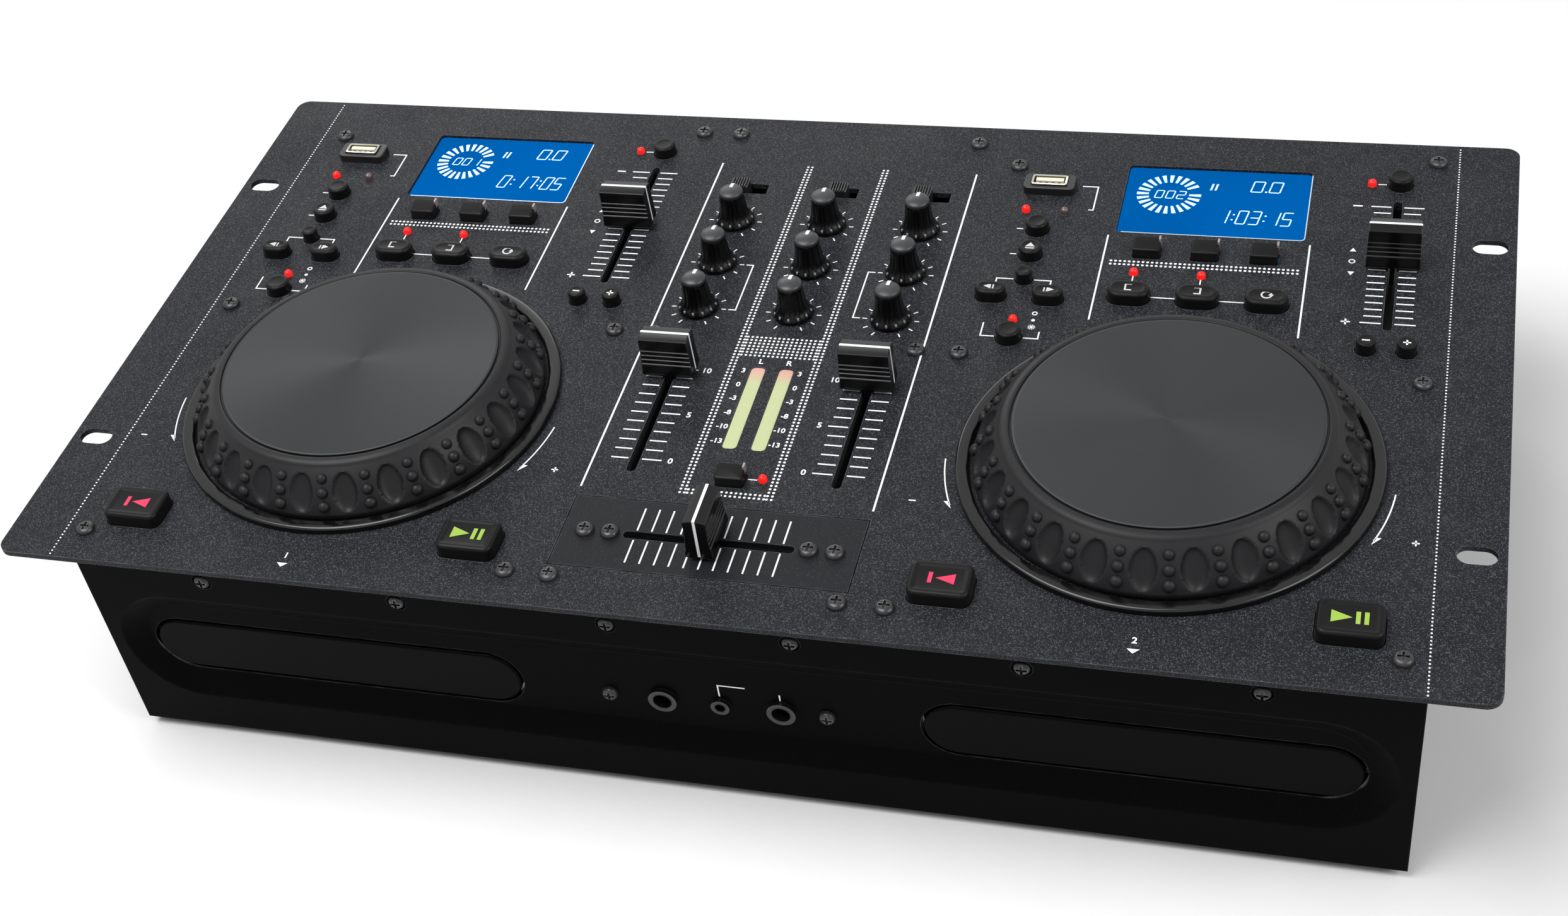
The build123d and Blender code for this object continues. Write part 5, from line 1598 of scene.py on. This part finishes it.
@dataclass
class Display:
    """One lit display with its figures, and a painted highlight along the right and front edges of its
    window.

    Places on it count from its middle.
    """
    number: int
    x: float
    finishes: Finishes
    track: str
    time: str
    y: float = from_front(DISPLAY_Y)
    face: float = PANEL_TOP - 1.0
    slant: float = 0.17
    half_width: float = 32.75
    half_depth: float = 20.1
    ring_place: Flat = (-16.9, 4.5)
    ring_bars: int = 24
    dark_bar: int = 1
    ring_ends: tuple[Flat, Flat] = ((7.2, 0.42), (11.5, 0.78))

    def span(self) -> Flat:
        """Returns the underside and the top of what is drawn on the face."""
        return self.face - 0.02, self.face + 0.06

    def figure(self, form: Form, sign: str, x: float, y: float, width: float, height: float,
               bar: float) -> None:
        """Draws one slanted figure.

        Args:
            form: Where it goes.
            sign: The figure.
            x: X of its lower left corner.
            y: Y of that corner.
            width: Its width.
            height: Its height.
            bar: Width of its bars.
        """
        gap = bar * 0.28
        for segment in FIGURES[sign]:
            (ax, ay), (bx, by) = segment.value
            start, end = Vector((ax * width, ay * height)), Vector((bx * width, by * height))
            along = (end - start).normalized() * gap
            form.stroke([(self.x + x + p.x + self.slant * p.y, self.y + y + p.y)
                         for p in (start + along, end - along)], bar, *self.span())

    def ring(self, form: Form) -> None:
        """Draws the ring of wedge-shaped bars.

        Args:
            form: Where it goes.
        """
        x, y = self.x + self.ring_place[0], self.y + self.ring_place[1]
        (inner, narrow), (outer, wide) = self.ring_ends
        corners = ((outer, -wide), (outer, wide), (inner, narrow), (inner, -narrow))
        for i in range(self.ring_bars):
            if i != self.dark_bar:
                cos, sin = polar(1.0, math.tau * i / self.ring_bars)
                form.prism([(x + r * cos - aside * sin, y + r * sin + aside * cos) for r, aside in corners],
                           *self.span())

    def figures(self) -> Form:
        """Makes all figures and signs on the display.

        Returns:
            The form.
        """
        form = Form()
        self.ring(form)
        span = self.span()
        for i, sign in enumerate(self.track):
            self.figure(form, sign, -21.9 + 3.9 * i, 2.2, 2.6, 4.4, 0.38)
        for shift in (-2.0, -0.4):
            x, y = self.x + shift, self.y + 10.0
            form.prism([(x - 0.65, y - 1.9), (x + 0.05, y - 1.9), (x + 0.65, y + 1.9), (x - 0.05, y + 1.9)],
                       *span)
        for x in (11.8, 18.2):
            self.figure(form, "0", x, 8.2, 3.8, 6.2, 0.46)
        form.block(self.x + 17.2, self.y + 8.4, 0.7, 0.7, *span)
        x, y = 1.4, -11.0
        for sign in self.time:
            if sign == ":":
                for up in (2.2, 5.2):
                    form.block(self.x + x + 0.5 + self.slant * up, self.y + y + up, 0.65, 0.65, *span)
                x += 2.1
            else:
                self.figure(form, sign, x, y, 3.2, 7.6, 0.44)
                x += 4.5
        return form

    def edge(self) -> Form:
        """Makes the pale strip along the right and front of the window, a painted highlight of the window's
        cut edge.

        Returns:
            The form.
        """
        w, d, r = self.half_width + 0.15, self.half_depth + 0.15, 1.6
        path = [(self.x - w + 2, self.y - d), (self.x + w - r, self.y - d)]
        path += arc(r, -90, 0, 6, self.x + w - r, self.y - d + r)[1:]
        path += [(self.x + w, self.y + d - 2)]
        return Form().stroke(path, 0.38, PANEL_TOP - 0.06, PANEL_TOP + 0.05)

    def build(self) -> None:
        """Builds the figures and the painted highlight along the window's edge."""
        f = self.finishes
        self.figures().piece(f"display_figures_{self.number}", f.figures, CASE, "screen_blue")
        # The window's edge is a painted highlight.
        self.edge().piece(f"display_edge_highlight_{self.number}", f.edge)
        log.info("display %d", self.number)


@dataclass
class Lamps:
    """The indicator lamps: clear domes, lit or dark."""
    finishes: Finishes
    radius: float = 1.5
    height: float = 2.2
    flatness: float = 0.9
    lit_places: tuple[Flat, ...] = ((-23.2, 182.5), (0.0, 182.5), (-66.5, 215.5), (-60.6, 153.0),
                                    (53.7, 240.5))
    dark_place: Flat = (-52.5, 215.5)
    start_place: Flat = (10.5, 64.5)

    def dome(self, form: Form, x: float, y: float) -> None:
        """Adds one lamp.

        Args:
            form: Where it goes.
            x: X of its axis.
            y: Y of its axis, from the panel's front edge.
        """
        rise = self.radius * self.flatness
        foot = PANEL_TOP + self.height - rise
        angles = [math.radians(a) for a in (20, 40, 60, 75, 86)]
        profile = [(self.radius, PANEL_TOP - ROOT), (self.radius, foot)]
        profile += [(self.radius * math.cos(a), foot + rise * math.sin(a)) for a in angles]
        form.turned(profile, x, from_front(y), 20)

    def build(self) -> None:
        """Builds the lit and the dark lamps."""
        lit, dark = Form(), Form()
        for x in DECK_CENTRES:
            for aside, y in self.lit_places:
                self.dome(lit, x + aside, y)
            self.dome(dark, x + self.dark_place[0], self.dark_place[1])
        self.dome(lit, *self.start_place)
        lit.piece("lit_lamps", self.finishes.lit_lamp, CASE, "lamp_red", ["indicator_leds"], sharp=80)
        dark.piece("dark_lamps", self.finishes.dark_lamp, CASE, "lamp_red", sharp=80)
        log.info("lamps")


@dataclass
class UsbPort:
    """One USB port: a folded metal shell with springs, and the tongue with its contacts."""
    number: int
    x: float
    finishes: Finishes
    y: float = from_front(USB_Y)
    width: float = 13.1
    depth: float = 5.7
    wall: float = 0.75
    top: float = PANEL_TOP + 4.1
    low: float = PANEL_TOP - 6.0

    def shell(self) -> Form:
        """Makes the metal shell and its two springs.

        Returns:
            The form.
        """
        edge = self.top - 0.15
        rings = []
        for inset, corner, z in ((0.0, 0.8, self.low), (0.0, 0.8, edge), (0.2, 0.7, self.top),
                                 (self.wall, 0.4, edge), (self.wall, 0.4, self.low)):
            outline = rounded(self.width - 2 * inset, self.depth - 2 * inset, corner, self.x, self.y, 4)
            rings.append(level(outline, z))
        form = Form().rings(rings, looped=True)
        for side in (-1, 1):
            form.block(self.x + side * 3.0, self.y - self.depth / 2 + 0.9, 1.8, 0.35, self.low,
                       self.top - 0.6)
        return form

    def tongue(self) -> Form:
        """Returns the tongue."""
        return Form().block(self.x, self.y + 0.6, self.width - 3.0, 1.9, self.low, self.top - 0.5)

    def contacts(self) -> Form:
        """Makes the four contacts on the tongue.

        Returns:
            The form.
        """
        form = Form()
        for i in range(4):
            form.block(self.x - 3.5 + 7.0 * i / 3, self.y - 0.42, 1.0, 0.16, self.low, self.top - 0.9)
        return form

    def build(self) -> None:
        """Builds the port's pieces."""
        f, n = self.finishes, self.number
        self.shell().piece(f"usb_shell_{n}", f.nickel)
        self.tongue().piece(f"usb_tongue_{n}", f.tongue)
        self.contacts().piece(f"usb_contacts_{n}", f.nickel)
        log.info("usb port %d", n)


# ---------------------------------------------------------------- print on the panel
@dataclass
class DeckPrint:
    """The white print of one deck, without its words."""
    number: int
    x: float
    finishes: Finishes
    line: float = 0.5
    dot: float = 0.5
    dot_pitch: float = 1.6
    ticks: int = 19
    tick_pitch: float = 3.578
    tick_back: float = 227.6

    def path(self, form: Form, points: Sequence[Flat], width: float | None = None) -> None:
        """Draws a line.

        Args:
            form: Where it goes.
            points: Its points, from the deck's middle and the panel's front edge.
            width: Its width, if it isn't the usual one.
        """
        form.stroke([(self.x + x, from_front(y)) for x, y in points], width or self.line)

    def left_column(self, form: Form) -> None:
        """Draws the brackets and signs round the keys at the left.

        Args:
            form: Where it goes.
        """
        for points in (((-48.2, 231.5), (-42.5, 231.5), (-42.5, 217.5), (-44.2, 217.5)),
                       ((-68.0, 204.5), (-65.7, 204.5)),
                       ((-68.0, 189.8), (-65.7, 189.8)),
                       ((-70.2, 170.2), (-70.2, 175.6), (-64.3, 175.6)),
                       ((-57.0, 175.6), (-51.0, 175.6), (-51.0, 170.2)),
                       ((-70.4, 151.0), (-70.4, 144.0), (-65.6, 144.0)),
                       ((-55.6, 144.0), (-50.6, 144.0), (-50.6, 147.7))):
            self.path(form, points)
        x, back, middle, front = self.x - 53.7, from_front(157.4), from_front(153.7), from_front(150.0)
        form.stroke(circle(0.8, 16, x, back), 0.4, closed=True)
        form.prism(circle(0.65, 12, x, middle), PRINT_LOW, PRINT_HIGH)
        form.prism(circle(0.5, 12, x, front), PRINT_LOW, PRINT_HIGH)
        for i in range(10):
            form.stroke([polar(reach, math.tau * i / 10, x, front) for reach in (0.7, 1.3)], 0.28)

    def middle(self, form: Form) -> None:
        """Draws the lines round the loop keys and under the display.

        Args:
            form: Where it goes.
        """
        self.path(form, [(-35.0, 203.5), (-35.0, 156.0)], 0.6)
        self.path(form, [(35.0, 203.5), (35.0, 153.0)], 0.6)
        for start in (-15.9, 7.3):
            self.path(form, [(start, 169.8), (start + 8.6, 169.8)])
        for x in (-23.2, 0.0):
            self.path(form, [(x, 173.6), (x, 180.8)], 0.45)
        count = int(65 / self.dot_pitch)
        for row in (189.0, 187.2):
            for i in range(count + 1):
                form.prism(circle(self.dot, 8, self.x - 32 + self.dot_pitch * i, from_front(row)),
                           PRINT_LOW, PRINT_HIGH)

    def pitch(self, form: Form) -> None:
        """Draws the scale of the pitch fader.

        Args:
            form: Where it goes.
        """
        for i in range(self.ticks):
            y = self.tick_back - self.tick_pitch * i
            reach = 9.0 if i in (0, self.ticks - 1) else 8.0
            for side in (-1, 1):
                self.path(form, [(PITCH_FADER_X + side * 2.2, y), (PITCH_FADER_X + side * reach, y)], 0.55)
        self.path(form, [(48.0, self.tick_back), (51.2, self.tick_back)], 0.7)
        self.path(form, [(48.1, 163.2), (51.1, 163.2)], 0.6)
        self.path(form, [(49.6, 161.7), (49.6, 164.7)], 0.6)
        x = self.x + 49.6
        for y, up in ((202.3, 1), (189.1, -1)):
            points = [(x - 1.1, from_front(y) - up), (x + 1.1, from_front(y) - up), (x, from_front(y) + up)]
            form.prism(pointing(points, up), PRINT_LOW, PRINT_HIGH)
        form.stroke(circle(0.95, 20, x, from_front(195.8)), 0.45, closed=True)
        self.path(form, [(55.8, 240.7), (58.7, 240.8)])

    def arrows(self, form: Form) -> None:
        """Draws the arrows beside the wheel with their signs, and the mark of the tray.

        Args:
            form: Where it goes.
        """
        for side in (-1, 1):
            angles = (185.5, 203.2) if side < 0 else (-5.5, -23.2)
            path = arc(70.5, *angles, 14, self.x, from_front(WHEEL_Y))
            form.stroke(path, 0.45)
            tip = Vector(path[-1])
            along = (tip - Vector(path[-2])).normalized()
            outward = Vector((side * 1.0, -0.35)).normalized()
            corners = (tip + along * 1.6, tip - along * 1.8, tip - along * 2.2 + outward * 1.5)
            form.prism(pointing([tuple(corner) for corner in corners], side), PRINT_LOW, PRINT_HIGH)
            self.path(form, [(side * 78.2, 61.2), (side * 75.9, 61.2)], 0.5)
            if side > 0:
                self.path(form, [(77.05, 60.05), (77.05, 62.35)], 0.5)
        x, y = self.x, from_front(6.6)
        form.prism([(x - 1.9, y + 0.9), (x, y - 0.9), (x + 1.9, y + 0.9)], PRINT_LOW, PRINT_HIGH)
        form.glyphs(str(self.number), x, from_front(10.8), 3.4)

    def build(self) -> None:
        """Builds the deck's print."""
        form = Form()
        self.left_column(form)
        self.middle(form)
        self.pitch(form)
        self.arrows(form)
        form.piece(f"print_deck_{self.number}", self.finishes.ink)
        log.info("print of deck %d", self.number)


@dataclass
class MixerPrint:
    """The white print of the mixer and of the panel's ends."""
    finishes: Finishes
    line: float = 0.65
    dot: float = 0.47
    dot_pitch: float = 1.62
    front: float = 55.8
    back: float = 235.8
    block_half: float = 12.96
    end_x: float = 220.9
    end_pitch: float = 1.5
    levels: tuple[tuple[str, float], ...] = (("3", 117.3), ("0", 110.0), ("-3", 103.0), ("-8", 95.7),
                                             ("-10", 88.6), ("-13", 81.4))

    def spots(self, form: Form, places: Iterable[Flat], radius: float) -> None:
        """Draws round dots.

        Args:
            form: Where they go.
            places: Their middles, with Y from the panel's front edge.
            radius: Their radius.
        """
        for x, y in places:
            form.prism(circle(radius, 8, x, from_front(y)), PRINT_LOW, PRINT_HIGH)

    def dotted(self, form: Form) -> None:
        """Draws the dotted borders and the dotted block.

        Args:
            form: Where it goes.
        """
        pitch = self.dot_pitch
        rows = [self.front + pitch * i for i in range(int((self.back - self.front) / pitch) + 1)]
        columns = [-self.block_half + pitch * i for i in range(round(2 * self.block_half / pitch) + 1)]
        places = [(side * x, y) for side in (-1, 1) for x in (15.5, 13.9) for y in rows]
        places += [(x, y) for y in rows[:2] for x in columns]
        places += [(x, 125.46 + pitch * j) for x in columns for j in range(7)]
        self.spots(form, places, self.dot)
        ends = int(264 / self.end_pitch)
        self.spots(form, [(side * self.end_x, 1.2 + self.end_pitch * i) for side in (-1, 1)
                          for i in range(ends)], 0.32)

    def knob_scales(self, form: Form) -> None:
        """Draws the ticks round the knobs and the brackets beside them.

        Args:
            form: Where it goes.
        """
        for column in MIXER_COLUMNS:
            for row in KNOB_ROWS:
                for i in range(11):
                    angle = math.radians(240 - 30 * i)
                    form.stroke([polar(reach, angle, column, from_front(row)) for reach in (8.4, 10.1)], 0.45)
        back, front = (from_front(row) for row in KNOB_ROWS[1:])
        for side in (-1, 1):
            near, far = side * 21.4, side * 24.0
            form.stroke([(far, back), (near, back), (near, front), (far, front)], 0.5)

    def fader_scales(self, form: Form) -> None:
        """Draws the scales of the channel faders and of the crossfader.

        Args:
            form: Where it goes.
        """
        for side, x in ((-1, MIXER_COLUMNS[0]), (1, MIXER_COLUMNS[-1])):
            form.stroke([(side * 49.4, from_front(54.7)), (side * 49.4, from_front(self.back))], self.line)
            for i in range(11):
                y = from_front(69.7 + 4.6 * i)
                for way in (-1, 1):
                    reach = 9.2 if way == -side and i % 5 == 0 else 8.4
                    form.stroke([(x + way * 2.4, y), (x + way * reach, y)], 0.55)
            for figure, y in (("0", 69.7), ("5", 92.7), ("10", 115.7)):
                form.glyphs(figure, x - side * 12.2, from_front(y), 3.5)
        for i in range(11):
            x = 4.87 * (i - 5)
            for low, high in ((22.3, 32.4), (36.8, 46.9)):
                form.stroke([(x, from_front(low)), (x, from_front(high))], 0.55)

    def meter_scales(self, form: Form) -> None:
        """Draws the figures beside the meters.

        Args:
            form: Where it goes.
        """
        for side in (-1, 1):
            for figure, y in self.levels:
                form.glyphs(figure, side * 10.0, from_front(y), 3.1)
        form.glyphs("L", -5.0, from_front(122.4), 3.4)
        form.glyphs("R", 5.0, from_front(122.4), 3.4)
        form.stroke([(5.5, from_front(64.3)), (8.6, from_front(64.3))], 0.5)

    def build(self) -> None:
        """Builds the mixer's print."""
        dots, lines = Form(), Form()
        self.dotted(dots)
        dots.piece("print_dots", self.finishes.ink)
        self.knob_scales(lines)
        self.fader_scales(lines)
        self.meter_scales(lines)
        lines.piece("print_mixer", self.finishes.ink)
        log.info("print of the mixer")


# ---------------------------------------------------------------- front and back
@dataclass
class FrontDress:
    """The print and the metal parts on the front."""
    finishes: Finishes
    face: float = -116.75
    jack_z: float = 41.2
    jacks: tuple[Flat, ...] = ((-18.8, 3.2), (1.2, 1.8), (22.0, 3.2))
    rim: tuple[Flat, ...] = ((0.05, 1.2), (0.3, 1.2), (0.3, 1.68), (0.15, 1.74), (0.02, 1.62))

    def build(self) -> None:
        """Builds the line that joins the headphone jacks, and the rim and contact of each jack."""
        low, high = -0.02, 0.05
        lines = Form()
        lines.stroke([(1.2, 45.4), (1.2, 50.7), (10.5, 50.7)], 0.5, low, high)
        lines.stroke([(22.0, 49.2), (22.0, 46.4)], 0.5, low, high)
        lines.placed(upright(self.face)).piece("print_front", self.finishes.ink)
        rings, contacts = Form(), Form()
        for x, bore in self.jacks:
            rings.turned([(bore + out, z) for out, z in self.rim], x, self.jack_z, 48, looped=True)
            contacts.block(x, self.jack_z + bore * 0.62, bore * 0.5, bore * 0.3, -12.0, -6.0)
        rings.placed(upright(self.face)).piece("jack_rims", self.finishes.jack)
        contacts.placed(upright(self.face)).piece("jack_contacts", self.finishes.nickel)
        log.info("front dress")


@dataclass
class RearDress:
    """The metal and coloured parts of the connectors on the back.

    Attributes:
        finishes: The console's finishes.
        face: Y of the back's face.
        columns: X of each column of phono sockets.
        rows: Height of each row.
        sleeve: Radius, and distance from the face, of each corner of a sleeve.
        core: The same for a core.
        switch_x: X of the power switch's marks, seen from behind.
    """
    finishes: Finishes
    face: float = 123.85
    columns: tuple[float, ...] = (-60.0, -38.0, -16.0, 6.0)
    rows: tuple[float, ...] = (64.5, 50.5)
    sleeve: tuple[Flat, ...] = ((3.05, 2.0), (4.28, 2.0), (4.28, 8.2), (4.1, 8.45), (3.3, 8.45), (3.05, 8.2))
    core: tuple[Flat, ...] = ((1.72, 1.0), (3.0, 1.0), (3.0, 8.3), (1.72, 8.3))
    switch_x: float = -110.0

    def build(self) -> None:
        """Builds the sleeves and coloured cores of the phono sockets."""
        sleeves, red, white = Form(), Form(), Form()
        for row, core in zip(self.rows, (white, red)):
            for x in self.columns:
                sleeves.turned(self.sleeve, -x, row, 40, looped=True)
                core.turned(self.core, -x, row, 32, looped=True)
        place = upright_rear(self.face)
        sleeves.placed(place).piece("phono_sleeves", self.finishes.nickel)
        white.placed(place).piece("phono_cores_upper", self.finishes.white_ring)
        red.placed(place).piece("phono_cores_lower", self.finishes.red_ring)
        marks = Form()
        marks.block(self.switch_x, 70.4, 0.5, 2.2, 0.0, 0.06)
        marks.stroke(circle(1.1, 20, self.switch_x, 46.6), 0.45, 0.0, 0.06, closed=True)
        marks.placed(place).piece("print_rear", self.finishes.ink)
        log.info("rear dress")


# ---------------------------------------------------------------- studio
@dataclass
class Studio:
    """The pale floor, the soft lamps and the camera.

    Attributes:
        camera_place: Place of the camera.
        camera_target: The point that it looks at.
        camera_roll: How far it is tilted round its view, in degrees.
        sensor: Width of its sensor.
        lens: Its focal length.
        shift: Sideways and upward shift of the frame.
        ambient: Strength of the even light from all sides.
        floor_half: Half of the floor's size, in metres.
        lamps: Name, place, target, width, height and power of each lamp.
    """
    camera_place: Point = (202.5, -567.6, 590.1)
    camera_target: Point = (8.18, -78.67, PANEL_TOP)
    camera_roll: float = -10.168
    sensor: float = 36.0
    lens: float = 51.281
    shift: Flat = (0.02283, 0.02769)
    ambient: float = 0.24
    floor_half: float = 6.0
    lamps: tuple[tuple[str, Point, Point, float, float, float], ...] = (
        ("key_lamp", (-500, -350, 1600), (0, 0, 80), 1300, 1000, 30.0),
        ("fill_lamp", (1300, -300, 1100), (60, 0, 60), 900, 900, 12.0),
        ("rim_lamp", (-700, 1500, 900), (0, 0, 80), 900, 500, 4.0),
    )

    def floor(self) -> None:
        """Builds the pale floor, which keeps the object's shadow."""
        material, shader, graph = new_material("pale_floor")
        grain = effect(graph, Effect.GRAIN, color=tint(236, 236, 236), tone=0.01, scale=40.0, roughness=0.7,
                       spread=0.05)
        graph.feed(shader, {"Base Color": grain.outputs["Color"], "Roughness": grain.outputs["Roughness"]})
        mesh = bpy.data.meshes.new("floor")
        half = self.floor_half
        mesh.from_pydata([(-half, -half, 0), (half, -half, 0), (half, half, 0), (-half, half, 0)], [],
                         [(0, 1, 2, 3)])
        mesh.materials.append(material)
        floor = bpy.data.objects.new("floor", mesh)
        bpy.context.scene.collection.objects.link(floor)

    def world(self) -> None:
        """Lights the scene evenly, with white behind it and in what mirrors it."""
        world = bpy.data.worlds.new("studio")
        world.use_nodes = True
        graph = Graph(world.node_tree)
        rays = graph.node("LightPath").outputs
        mirrored = graph.math("MAXIMUM", rays["Is Glossy Ray"], rays["Is Transmission Ray"])
        seen = graph.math("MAXIMUM", rays["Is Camera Ray"], mirrored)
        graph.feed(world.node_tree.nodes["Background"], {
            "Color": (1.0, 1.0, 1.0, 1.0), "Strength": graph.remap(seen, 0.0, 1.0, self.ambient, 1.0)})
        bpy.context.scene.world = world

    def stand(self, name: str, data: bpy.types.ID, place: Point, target: Point,
              roll: float = 0.0) -> bpy.types.Object:
        """Puts a lamp or a camera in its place.

        Args:
            name: Name of the object.
            data: The lamp or the camera.
            place: Where it stands.
            target: The point that it faces.
            roll: How far it is tilted, in degrees.

        Returns:
            The object.
        """
        holder = bpy.data.objects.new(name, data)
        facing = (Vector(target) - Vector(place)).to_track_quat("-Z", "Y")
        tilt = Matrix.Rotation(math.radians(roll), 4, "Z")
        holder.matrix_world = Matrix.Translation(Vector(place) * MM) @ facing.to_matrix().to_4x4() @ tilt
        bpy.context.scene.collection.objects.link(holder)
        return holder

    def light(self) -> None:
        """Hangs the lamps."""
        for name, place, target, width, height, power in self.lamps:
            lamp = bpy.data.lights.new(name, "AREA")
            lamp.shape = "RECTANGLE"
            lamp.size, lamp.size_y = width * MM, height * MM
            lamp.energy = power
            self.stand(name, lamp, place, target)

    def camera(self) -> None:
        """Stands the camera at the photograph's angle."""
        data = bpy.data.cameras.new("camera")
        data.sensor_width = self.sensor
        data.lens = self.lens
        data.shift_x, data.shift_y = self.shift
        bpy.context.scene.camera = self.stand("camera", data, self.camera_place, self.camera_target,
                                              self.camera_roll)

    def build(self) -> None:
        """Builds the whole studio."""
        self.floor()
        self.world()
        self.light()
        self.camera()
        bpy.context.scene.view_settings.view_transform = "Standard"
        log.info("studio")


def main() -> None:
    """Builds the console piece by piece."""
    logging.basicConfig(level=logging.INFO, format="%(message)s")
    finishes = Finishes()
    Carcass(finishes).build()
    decks = zip(DECK_CENTRES, (MIXER_COLUMNS[0], MIXER_COLUMNS[-1]), ("001", "002"), ("0:17:05", "1:03:15"))
    for number, (x, channel_x, track, time) in enumerate(decks, 1):
        JogWheel(number, x, finishes).build()
        Keys(number, x, finishes).build()
        Display(number, x, finishes, track, time).build()
        UsbPort(number, x + USB_X, finishes).build()
        DeckPrint(number, x, finishes).build()
        FaderCap(f"pitch_fader_{number}", x + PITCH_FADER_X, PITCH_FADER_Y, finishes).build()
        FaderCap(f"channel_fader_{number}", channel_x, CHANNEL_FADER_Y, finishes).build()
    JogRings(finishes).build()
    FaderCap("crossfader", 0.0, CROSSFADER_Y, finishes, across=True).build()
    for number, (x, y) in enumerate(((x, y) for x in MIXER_COLUMNS for y in KNOB_ROWS), 1):
        Knob(number, x, from_front(y), finishes).build()
    for number in (1, 2, 3):
        SlideNub(number, finishes).build()
    start = SlopedKey(0.0, START_KEY_Y)
    start.form().piece("fader_start_cap", finishes.rubber, "fader_start_key", "key_rubber",
                       ["fader_start_key"], sharp=35)
    start.guide().piece("fader_start_guide", finishes.guide, "fader_start_key")
    Lamps(finishes).build()
    MixerPrint(finishes).build()
    FrontDress(finishes).build()
    RearDress(finishes).build()
    Studio().build()


if __name__ == "__main__":
    main()
